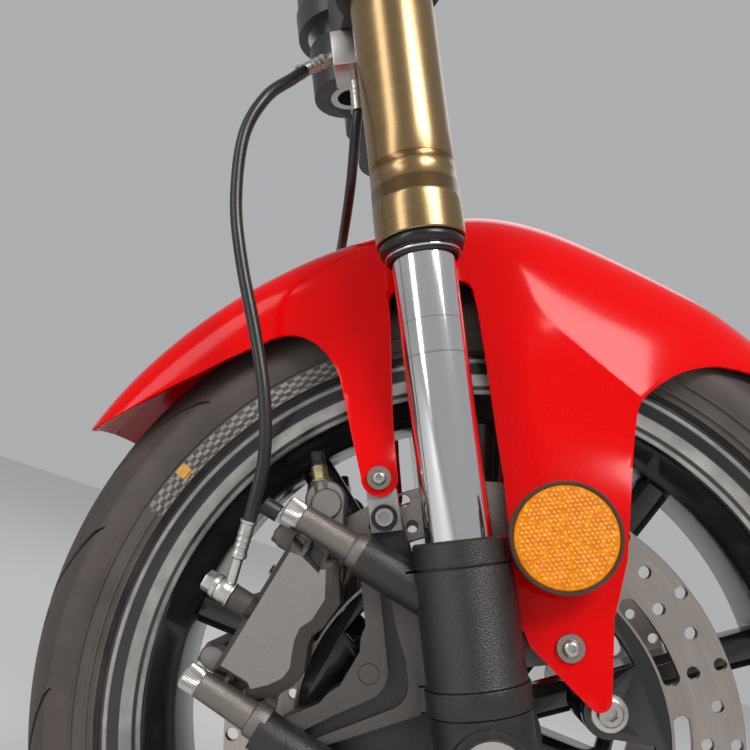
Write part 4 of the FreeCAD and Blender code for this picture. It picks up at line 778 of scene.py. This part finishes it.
# Screws: each is modelled once, upright with its seat at the origin

def hex_recess(piece, radius, top, deep):
    """Hexagon socket sunk in the top of a screw."""
    return boolean(piece, peg("key_recess", (0, 0, top - deep), (0, 0, 1), radius, deep + 2, 6))


def button_screw(radius=8, height=4):
    head = turned("button_screw", [
        (0, 0), (radius, 0), (radius, 0.8), (radius * 0.97, 1.3), (radius * 0.84, height * 0.68),
        (radius * 0.62, height * 0.93), (radius * 0.5, height), (0, height)], steps=40)
    return hex_recess(head, radius * 0.42, height, height * 0.6)


def flanged_screw(flange=11, head=7.5, height=4.5):
    screw = turned("flanged_screw", [
        (0, 0), (flange, 0), (flange, 0.9), (flange - 0.6, 1.6), (head + 0.6, 2), (head, 2.4),
        (head, height - 0.9), (head - 0.9, height), (0, height)], steps=48)
    return hex_recess(screw, head * 0.56, height, 3)


def knurled_screw(radius=8, height=10, knurls=88):
    """Socket screw with a knurled side, a plain foot and a bevelled top."""
    foot, bevel = 2.2, 1.1
    put_down()
    bpy.ops.mesh.primitive_cylinder_add(vertices=knurls, radius=radius * MM, depth=height * MM,
                                        location=spot(0, 0, height / 2))
    screw = bpy.context.object
    fix_place()
    for cut in (foot, height - bevel):
        open_up(screw)
        bpy.ops.mesh.bisect(plane_co=spot(0, 0, cut), plane_no=(0, 0, 1))
    put_down()
    for vertex in screw.data.vertices:
        turn = round(math.atan2(vertex.co.y, vertex.co.x) / math.tau * knurls)
        height_up = vertex.co.z / MM
        if height_up < foot - 0.1:
            vertex.co.xy *= 0.955
        elif height_up > height - 0.1:
            vertex.co.xy *= 0.87
        elif turn % 2:
            vertex.co.xy *= 0.95
    return hex_recess(screw, radius * 0.55, height, 5)


def hollow_screw():
    """Screw of the bracket: a thin collar round a deep socket."""
    screw = turned("hollow_screw", [(0, 0), (5.3, 0), (5.3, 4.6), (4.8, 5.1), (0, 5.1)], steps=40)
    return hex_recess(screw, 3.5, 5.1, 4.6)


def washer(radius, bore, height):
    return turned("washer", [(bore, 0), (radius, 0), (radius, height - 0.3), (radius - 0.3, height),
                             (bore, height)], steps=40)


def set_of(name, pattern, places):
    """One object of copies of a pattern at many places; the pattern is used up."""
    pieces = [twin(pattern, name, place) for place in places]
    bpy.data.objects.remove(pattern)
    return join(name, pieces)


def side_places(x, z, face):
    """Seats on both outer sides of the fork, looking outward."""
    return [aim((x, sign * face, z), (0, sign, 0)) for sign in (-1, 1)]


# Seats of the mudguard's screws and of its bracket's screw, as (x, z)
FRONT_SEAT, REAR_SEAT, BRACKET_SEAT = (52, 51.3), (-39.8, 154.5), (-39.4, 132.1)
# Half distance between the legs and between the calipers, and the places of a caliper's two ears
LEG, CALIPER_SIDE, EARS = 103, 100, (57.1, -49)
CALIPER = Matrix.Rotation(-math.radians(52.4), 4, "Y")


def screws():
    guard = join("guard_screws", [
        set_of("front", button_screw(5, 3.4), side_places(*FRONT_SEAT, 103)),
        set_of("rear", button_screw(4.3, 3.2), side_places(*REAR_SEAT, 99.5)),
        set_of("bracket", hollow_screw(), side_places(*BRACKET_SEAT, 95.5))])
    seat(guard, "fork", "bright_steel", ("mudguard_bolts",), smooth=30)
    cups = join("guard_washers", [
        set_of("front_cup", washer(7.7, 3, 1.4), side_places(*FRONT_SEAT, 102.05)),
        set_of("rear_cup", washer(6.8, 3, 1.4), side_places(*REAR_SEAT, 98.55))])
    seat(cups, "fork", "washer_grey")
    grommets = set_of("bracket_grommets", washer(7.4, 5.5, 4.4), side_places(*BRACKET_SEAT, 95.25))
    seat(grommets, "fork", "seal_rubber")
    ring = [aim(around(5.8 + 72 * index, 75.4, sign * 66), (0, sign, 0)) for sign in (-1, 1) for index in range(5)]
    seat(set_of("disc_screws", flanged_screw(), ring), "wheel", "bright_steel", ("disc_bolts",), smooth=30)
    mounts = [CALIPER @ aim((along, sign * CALIPER_SIDE, 151.2), (0, 0, 1)) for along in EARS for sign in (-1, 1)]
    bolts = set_of("caliper_screws", knurled_screw(7.7, 10.4), mounts)
    seat(bolts, "fork", "bright_steel", ("caliper_bolts",), smooth=25)


# Calipers, drawn in a frame whose upright line runs outward along their bolts

CALIPER_OUT = CALIPER.to_3x3() @ Vector((0, 0, 1))
NIPPLE = aim((80.4, -82.5, 155.9), (19.8, -3, 15.3))
# Side view of the casting and of its raised face
CALIPER_EDGE = (
    (-40.5, 150), (-41, 131.1), (-44, 125.6), (-34, 113), (-24, 107.2), (-14, 106.3), (-6, 109.7), (-0.5, 112.2),
    (4.5, 112.6), (10.5, 109.7), (27, 108.4), (47, 121.4), (44.5, 128.2), (47, 134.5), (47, 150))
CALIPER_FACE = (
    (-34, 146.6), (-33.6, 129.4), (-36, 126), (-29, 118.9), (-22, 114.3), (-15.5, 113.5), (-9, 116.4), (-1.5, 119.3),
    (5.5, 120.2), (12.5, 116.8), (25.5, 116.4), (39.6, 124.4), (37, 128.6), (39.5, 135.2), (37.5, 146.6))
# Mouth and floor of each pocket in the raised face
POCKETS = (
    (((53, 141), (53.5, 128.5), (35.6, 126.6), (38.6, 139)), ((49.6, 138.6), (50, 132), (38.2, 129.8), (41, 137.4))),
    (((56, 151.5), (56, 143), (39.8, 140.8), (41.5, 151.5)), ((53, 149.5), (52, 144.4), (44, 143), (45.4, 149.5))),
    (((-50, 149.5), (-50, 141.5), (-34.5, 139.6), (-35.5, 149)),
     ((-48, 147.4), (-47.4, 143), (-39.4, 142.6), (-42, 147))),
    (((-50, 139.6), (-50, 128.6), (-34.8, 127.4), (-34.3, 138)),
     ((-48, 137), (-47, 131.3), (-37.6, 130.4), (-38.6, 135.6))),
)
RIBS = (
    ((42, 138.6), (42, 141.2), (54, 142.8), (54, 140.4)), ((39, 126.6), (38, 129), (54, 130.8), (54, 128.4)),
    ((-37, 138.4), (-37, 141), (-52, 142), (-52, 139.4)), ((-38, 127), (-38, 129.4), (-50, 130), (-50, 127.6)),
)
LOBES = (
    ((26, 122), (31, 115.4), (38, 113.6), (45, 117), (50.5, 124.5), (50, 134), (30, 134)),
    ((-20, 124), (-24, 115.6), (-31, 112.6), (-38, 115), (-43, 122), (-43, 132), (-22, 132)),
)


def drafted(name, mouth, near, floor, far):
    """Block whose outline changes from one side view outline to another, corner by corner."""
    piece = settle(side_plate(name, mouth, near, far))
    for vertex in piece.data.vertices:
        if abs(vertex.co.y / MM - far) < 0.01:
            corner = min(range(len(mouth)), key=lambda i: math.hypot(vertex.co.x / MM - mouth[i][0],
                                                                      vertex.co.z / MM - mouth[i][1]))
            vertex.co.x, vertex.co.z = (amount * MM for amount in floor[corner])
    return piece


def caliper_body():
    """Outer and inner halves, the raised face, the bridges and the shoulders in one casting."""
    body = side_plate("outer_half", CALIPER_EDGE, -98, -73.75)
    boolean(body, drafted("face", CALIPER_EDGE, -97.9, CALIPER_FACE, -104), "UNION")
    for mouth, floor in POCKETS:
        boolean(body, drafted("pocket", mouth, -104.6, floor, -94))
    soften(body, 0.7, 2, 30)
    parts = [body, soften(side_plate("inner_half", CALIPER_EDGE, -51.25, -36), 1.5)]
    for low, high in ((35.7, 47.7), (-43.7, -31.7)):
        middle = (low + high) / 2
        lobe = [(low, 130), (high, 130), (high + 1, 156)] + arc(middle, 156.5, 6.6, 10, 170, 8) + [(low - 1, 156)]
        parts += [soften(side_plate("bridge", lobe, -87, -73), 1.2),
                  soften(side_plate("bridge_inside", lobe, -52, -36), 1.2),
                  soften(brick("span", (low, -86, 155.6), (high, -37, 162.6)), 1)]
    for low, high in ((38, 62), (-58, -37)):
        parts.append(soften(brick("shoulder", (low, -93.6, 118), (high, -74, 149.6)), 2, 3))
    parts += [soften(side_plate("rib", rib, -100.5, -80), 0.5) for rib in RIBS]
    parts += [soften(side_plate("lobe", lobe, -88, -74), 1.4) for lobe in LOBES]
    bleed_side = [(58, 126)] + arc(71.7, 146.8, 12, -50, 140, 12) + [(56, 146)]
    parts += [
        turned("hose_boss", [(0, 144), (3, 146), (6.9, 150.5), (6.9, 160.8), (6.4, 161.6), (0, 161.6)],
               moved(0, -CALIPER_SIDE, 0), 36),
        soften(side_plate("hose_boss_foot", ((-10, 146), (10, 146), (6.6, 153), (-6.6, 153)), -99, -80), 1),
        soften(side_plate("bleed_boss", bleed_side, -87.4, -74), 1.4, 3),
        turned("nipple_seat", [(0, -10), (7, -10), (6.6, -0.8), (6, 0), (0, 0)], NIPPLE, 36)]
    return join("caliper", parts)


def caliper():
    body = settle(caliper_body(), CALIPER)
    both_sides(body, "caliper", "caliper_grey", ("caliper_right", "caliper_left"), smooth=35)
    ears = join("ears", [turned("ear", [
        (0, 108.8), (10, 108.8), (10.5, 109.4), (10.5, 117.2), (10, 118), (8.9, 118.5), (8.6, 119.4), (7.8, 150.6),
        (7.3, 151.2), (0, 151.2)], moved(along, -CALIPER_SIDE, 0), 48) for along in EARS])
    both_sides(settle(ears, CALIPER), "caliper_ears", "ear_metal", smooth=35)
    plug = turned("bleed_plug", [(0, 0), (8.8, 0), (8.8, 1.9), (8.2, 2.6), (7.4, 2.4), (0, 2.4)],
                  CALIPER @ aim((70.5, -87.3, 145), (0, -1, 0)))
    nipple = join("bleed_nipple", [
        soften(peg("nipple_hex", (0, 0, 0.8), (0, 0, 1), 4.9, 7.6, 6), 0.4),
        turned("nipple_neck", [(0, 0), (5.2, 0), (5.2, 0.8), (3.2, 0.8), (3.2, 9.6), (0, 9.6)], steps=32)])
    settle(nipple, CALIPER @ NIPPLE)
    cap = turned("bleed_cap", [
        (0, 9), (4.1, 9), (4.3, 9.6), (4.1, 10.4), (3.5, 10.8), (3.9, 11.6), (3.8, 16.4), (3, 17.2), (0, 17.2)],
        CALIPER @ NIPPLE, 28)
    both_sides(plug, "bleed_plug", "caliper_grey")
    both_sides(nipple, "bleed_nipple", "zinc_gold", smooth=30)
    both_sides(cap, "bleed_cap", "seal_rubber")
    sleeve = turned("pin_sleeve", [(0, 166), (5, 166), (5.3, 166.6), (5.3, 176), (4.8, 176.6), (0, 176.6)],
                    CALIPER @ moved(51, -84, 0), 32)
    both_sides(sleeve, "pin_sleeve", "clamp_black", smooth=30)
    nut = soften(peg("pin_hex", (51, -84, 156), (0, 0, 1), 5.2, 10, 6), 0.4)
    both_sides(settle(nut, CALIPER), "pin_nut", "zinc_plate", smooth=30)


# Castings

def fork_bottom():
    """Foot of a leg with three turned lines and a round casting mark."""
    foot = blank("fork_bottom_right")
    mark = turned("circle_mark", [(5.3, 0), (5.9, 0), (5.9, 1), (5.3, 1)], aim((-57.5, -97.4, 48.4), (0, 1, 0)))
    boolean(foot, mark)
    for low, high, depth in ((100.2, 101.6, 25.3), (38.4, 39.4, 26.4), (24.6, 25.6, 26.4)):
        line = [(depth, low), (32, low), (32, high), (depth, high)]
        boolean(foot, turned("collar_line", line, moved(0, -LEG, 0), 64))
    soften(foot, 1, 3, 30)
    both_sides(foot, "fork_bottom", "casting_black", ("fork_bottom_right", "fork_bottom_left"), smooth=35)


def softened(node_name, body, width, segments=2):
    """Carry a solid over with its edges rounded."""
    return seat(soften(blank(node_name), width, segments), body, slots[node_name], (node_name,), 35)


def brackets():
    """Plates under the rear struts, cut off where the strut covers them and bored for their screws."""
    x, z = BRACKET_SEAT
    for side, sign in (("right", -1), ("left", 1)):
        piece = boolean(blank(f"mudguard_bracket_{side}"), brick("trim", (-70, -120, 148), (0, 120, 200)))
        boolean(piece, peg("screw_bore", (x, sign * 92, z), (0, sign, 0), 5.1, 20))
        seat(soften(piece, 0.6), "fork", "bracket_grey", (f"mudguard_bracket_{side}",), 35)


# Fork legs

def caps():
    """Fork caps, each with a hexagon socket and an adjuster down in it."""
    piece = blank("fork_caps")
    for side in (-LEG, LEG):
        boolean(piece, peg("cap_socket", (0, side, 700), (0, 0, 1), 10, 12, 6))
    seat(soften(piece, 0.6), "fork", "clamp_black", ("fork_caps",), 35)
    dials = [turned("dial", [
        (0, 699.5), (7.4, 699.5), (7.4, 702), (6.8, 702.6), (2.4, 702.6), (2.4, 701.8), (0, 701.8)],
        moved(0, side, 0), 36) for side in (-LEG, LEG)]
    seat(join("cap_dials", dials), "fork", "gold_anodised", (), 35)


def leg_sides(name, profile, finish, stands_for=(), steps=64):
    both_sides(turned(name, profile, moved(0, -LEG, 0), steps), name, finish, stands_for)


def fork_legs():
    leg_sides("gold_tube", [
        (24.05, 286), (25.5, 286), (26.2, 286.8), (26.2, 303), (26.05, 308), (25.9, 309.5), (25.75, 309.7),
        (25.7, 317.8), (25.55, 318), (25.35, 325), (25.2, 328), (25.1, 328.2), (25.1, 332.3), (25.15, 332.5),
        (25.05, 349), (25, 664.3), (24.4, 664.3), (24.4, 666.3), (25, 666.3), (25, 697), (24, 698), (19.5, 698),
        (19.5, 306), (24.05, 306)], "gold_anodised", ("fork_tube_right", "fork_tube_left"), 96)
    leg_sides("dust_seal", [
        (18.55, 276.6), (19.6, 275.8), (20.6, 275.9), (21.2, 276.6), (21.4, 278), (21.9, 279.4), (23.6, 280.2),
        (24.7, 281.6), (25, 283.4), (24.7, 285.2), (24, 285.8), (24, 303), (18.55, 303)],
        "seal_rubber", ("dust_seals",))
    leg_sides("seal_spring", arc(21.5, 277.9, 0.75, 0, 360, 10)[:-1], "hard_chrome")


# Brake hoses, their crimped ends and hollow screws

def through(points, steps=8):
    """Smooth line through points, as a list of places."""
    line = []
    rows = [points[0]] + list(points) + [points[-1]]
    for before, start, finish, after in zip(rows, rows[1:], rows[2:], rows[3:]):
        before, start, finish, after = (Vector(row) for row in (before, start, finish, after))
        bend = 2 * before - 5 * start + 4 * finish - after
        twist = 3 * start - before - 3 * finish + after
        for step in range(steps):
            t = step / steps
            line.append(0.5 * (2 * start + (finish - before) * t + bend * t ** 2 + twist * t ** 3))
    return line + [Vector(points[-1])]


def hose(name, points, radius):
    """Round hose drawn as a bevelled curve, closed at both ends and made a mesh."""
    put_down()
    places = through(points)
    bpy.ops.curve.primitive_nurbs_path_add()
    path = bpy.context.object
    path.name = name
    path.data.splines.clear()
    line = path.data.splines.new("NURBS")
    line.points.add(len(places) - 1)
    for knot, place in zip(line.points, places):
        knot.co = (*(place * MM), 1)
    line.order_u, line.use_endpoint_u, line.resolution_u = 3, True, 3
    path.data.bevel_depth, path.data.bevel_resolution = radius * MM, 6
    path.data.use_fill_caps = True
    bpy.ops.object.convert(target="MESH")
    return tidy_mesh(bpy.context.object)


def ferrule(neck=11.5):
    """Crimped sleeve: the hose comes out of its flared top, a thin neck runs down from it."""
    profile = [(0, -3), (3.1, -3), (3.1, neck), (3.8, neck + 0.9), (4.3, neck + 1.2), (4.5, neck + 3.4),
               (4.2, neck + 4.2)]
    for start in (neck + 5, neck + 8.4, neck + 11.8):
        profile += [(3.9, start), (3.9, start + 1.9), (4.3, start + 2.4), (4.3, start + 2.8)]
    profile += [(4.05, neck + 15.6), (4.1, neck + 20.4), (4.7, neck + 21), (4.8, neck + 22.4), (3.75, neck + 22.6),
                (3.75, neck + 21), (0, neck + 21)]
    return turned("ferrule", profile, steps=24)


def fitting_screw(name, place, direction):
    """Hollow screw with its ring, two washers and flanged head."""
    parts = [turned(part, profile, steps=36) for part, profile in (
        ("ring", [(0, 1.2), (6.2, 1.2), (6.7, 2), (6.9, 5.2), (6.7, 8.4), (6.2, 9.2), (0, 9.2)]),
        ("foot_washer", [(0, 0), (7.2, 0), (7.2, 1.2), (0, 1.2)]),
        ("head_washer", [(0, 9.2), (7, 9.2), (7, 10.3), (0, 10.3)]),
        ("head_flange", [(0, 10.3), (6.7, 10.3), (6.7, 11.6), (6, 12.2), (0, 12.2)]))]
    parts.append(soften(peg("head_hex", (0, 0, 12), (0, 0, 1), 6.3, 5.6, 6), 0.5))
    return settle(join(name, parts), aim(place, direction))


# From each caliper's fitting to the union under the lower clamp, the left hose the other way
CALIPER_END, UNION_END = (-115.2, -104.5, 136), (-58, -75, 424)
RIGHT_HOSE = (
    CALIPER_END, (-112, -105.2, 143.5), (-102.5, -105.5, 172), (-99, -106, 205), (-100.5, -105, 240),
    (-105, -105, 290), (-105, -104, 328), (-97, -103, 368), (-82, -98, 394), (-66, -84, 413), UNION_END)
LEFT_HOSE = (
    (-27.5, -63, 398), (-31, -60, 385), (-38, -40, 362), (-47, -8, 345), (-56, 30, 337), (-70, 66, 325),
    (-88, 90, 295), (-99, 103, 250), (-102, 106, 205), (-104, 105.5, 172), (-112, 105.2, 143.5), (-115.2, 104.5, 136))


def brake_lines():
    banjo = CALIPER @ Vector((0, -CALIPER_SIDE, 162))
    both_sides(fitting_screw("banjo", banjo, CALIPER_OUT), "banjo", "zinc_plate", ("banjo_fittings",), smooth=30)
    foot = Vector((-127.5, -100.5, 108))
    sleeve = settle(ferrule(), aim(foot, Vector((-113.5, -105, 140)) - foot))
    both_sides(sleeve, "ferrule", "zinc_plate", smooth=35)
    for side, points, radius in (("right", RIGHT_HOSE, 3.7), ("left", LEFT_HOSE, 3.5)):
        seat(hose(f"hose_{side}_made", points, radius), "fork", "hose_rubber", (f"brake_hose_{side}",), smooth=60)
    top = Vector((-41, -68, 435))
    upper = settle(ferrule(4), aim(top, Vector(UNION_END) - top))
    lower = settle(ferrule(4), aim((-27, -63, 424), (-0.02, 0, -1)))
    seat(join("upper_ferrules", [upper, lower]), "fork", "zinc_plate", smooth=35)


# Reflectors

def prism_places(width, reach=25.4, gap=0.9):
    """Honeycomb of places in a circle, without those on its three bare lines."""
    places = []
    for row in range(-13, 14):
        for column in range(-12, 13):
            x, y = (column + (row % 2) / 2) * width * math.sqrt(3), row * width * 1.5
            on_line = abs(x) <= gap or abs(y - x * 0.577) <= 1.2 or abs(y + x * 0.577) <= 1.2
            if math.hypot(x, y) < reach and not on_line:
                places.append(moved(x, y, 0))
    return places


def reflector():
    """Amber lens of small six-sided prisms, open at their feet, in a dark cup on its stem."""
    disc = turned("lens", [(0, 116), (27.6, 116), (27.6, 120.1), (27, 120.7), (0, 120.7)], steps=72)
    put_down()
    bpy.ops.mesh.primitive_cone_add(vertices=6, radius1=1.5 * MM, radius2=0, depth=0.5 * MM,
                                    end_fill_type="NOTHING", location=spot(0, 0, 120.95))
    prism = bpy.context.object
    fix_place()
    lens = join("reflector_lens", [disc, set_of("prisms", prism, prism_places(1.5))])
    cup = turned("cup", [
        (0, 113), (29.4, 113), (30, 113.8), (30, 120.4), (29.4, 121), (28.4, 121), (27.7, 120.2), (27.7, 116),
        (0, 116)], steps=72)
    stem = turned("stem", [(0, 98.6), (4, 98.6), (4, 113), (0, 113)], steps=24)
    cup = join("reflector_cup", [cup, stem])
    place = aim((55, 0, 110), (0, -1, 0))
    both_sides(settle(lens, place), "reflector_lens", "amber_lens", smooth=12)
    both_sides(settle(cup, place), "reflector_cup", "reflector_black", ("reflectors",))


mudguard()
tyre()
screws()
caliper()
fork_bottom()
fork_legs()
reflector()
brake_lines()
softened("wheel_rim", "wheel", 1)
for side in ("right", "left"):
    softened(f"brake_disc_{side}", "wheel", 0.25, 1)
for side in ("right", "left"):
    softened(f"disc_carrier_{side}", "wheel", 0.8)
brackets()
softened("lower_clamp", "fork", 2, 3)
softened("upper_clamp", "fork", 2, 3)
softened("stem_nut", "fork", 0.8)
caps()
softened("hose_union", "fork", 1)

place_camera()
studio()
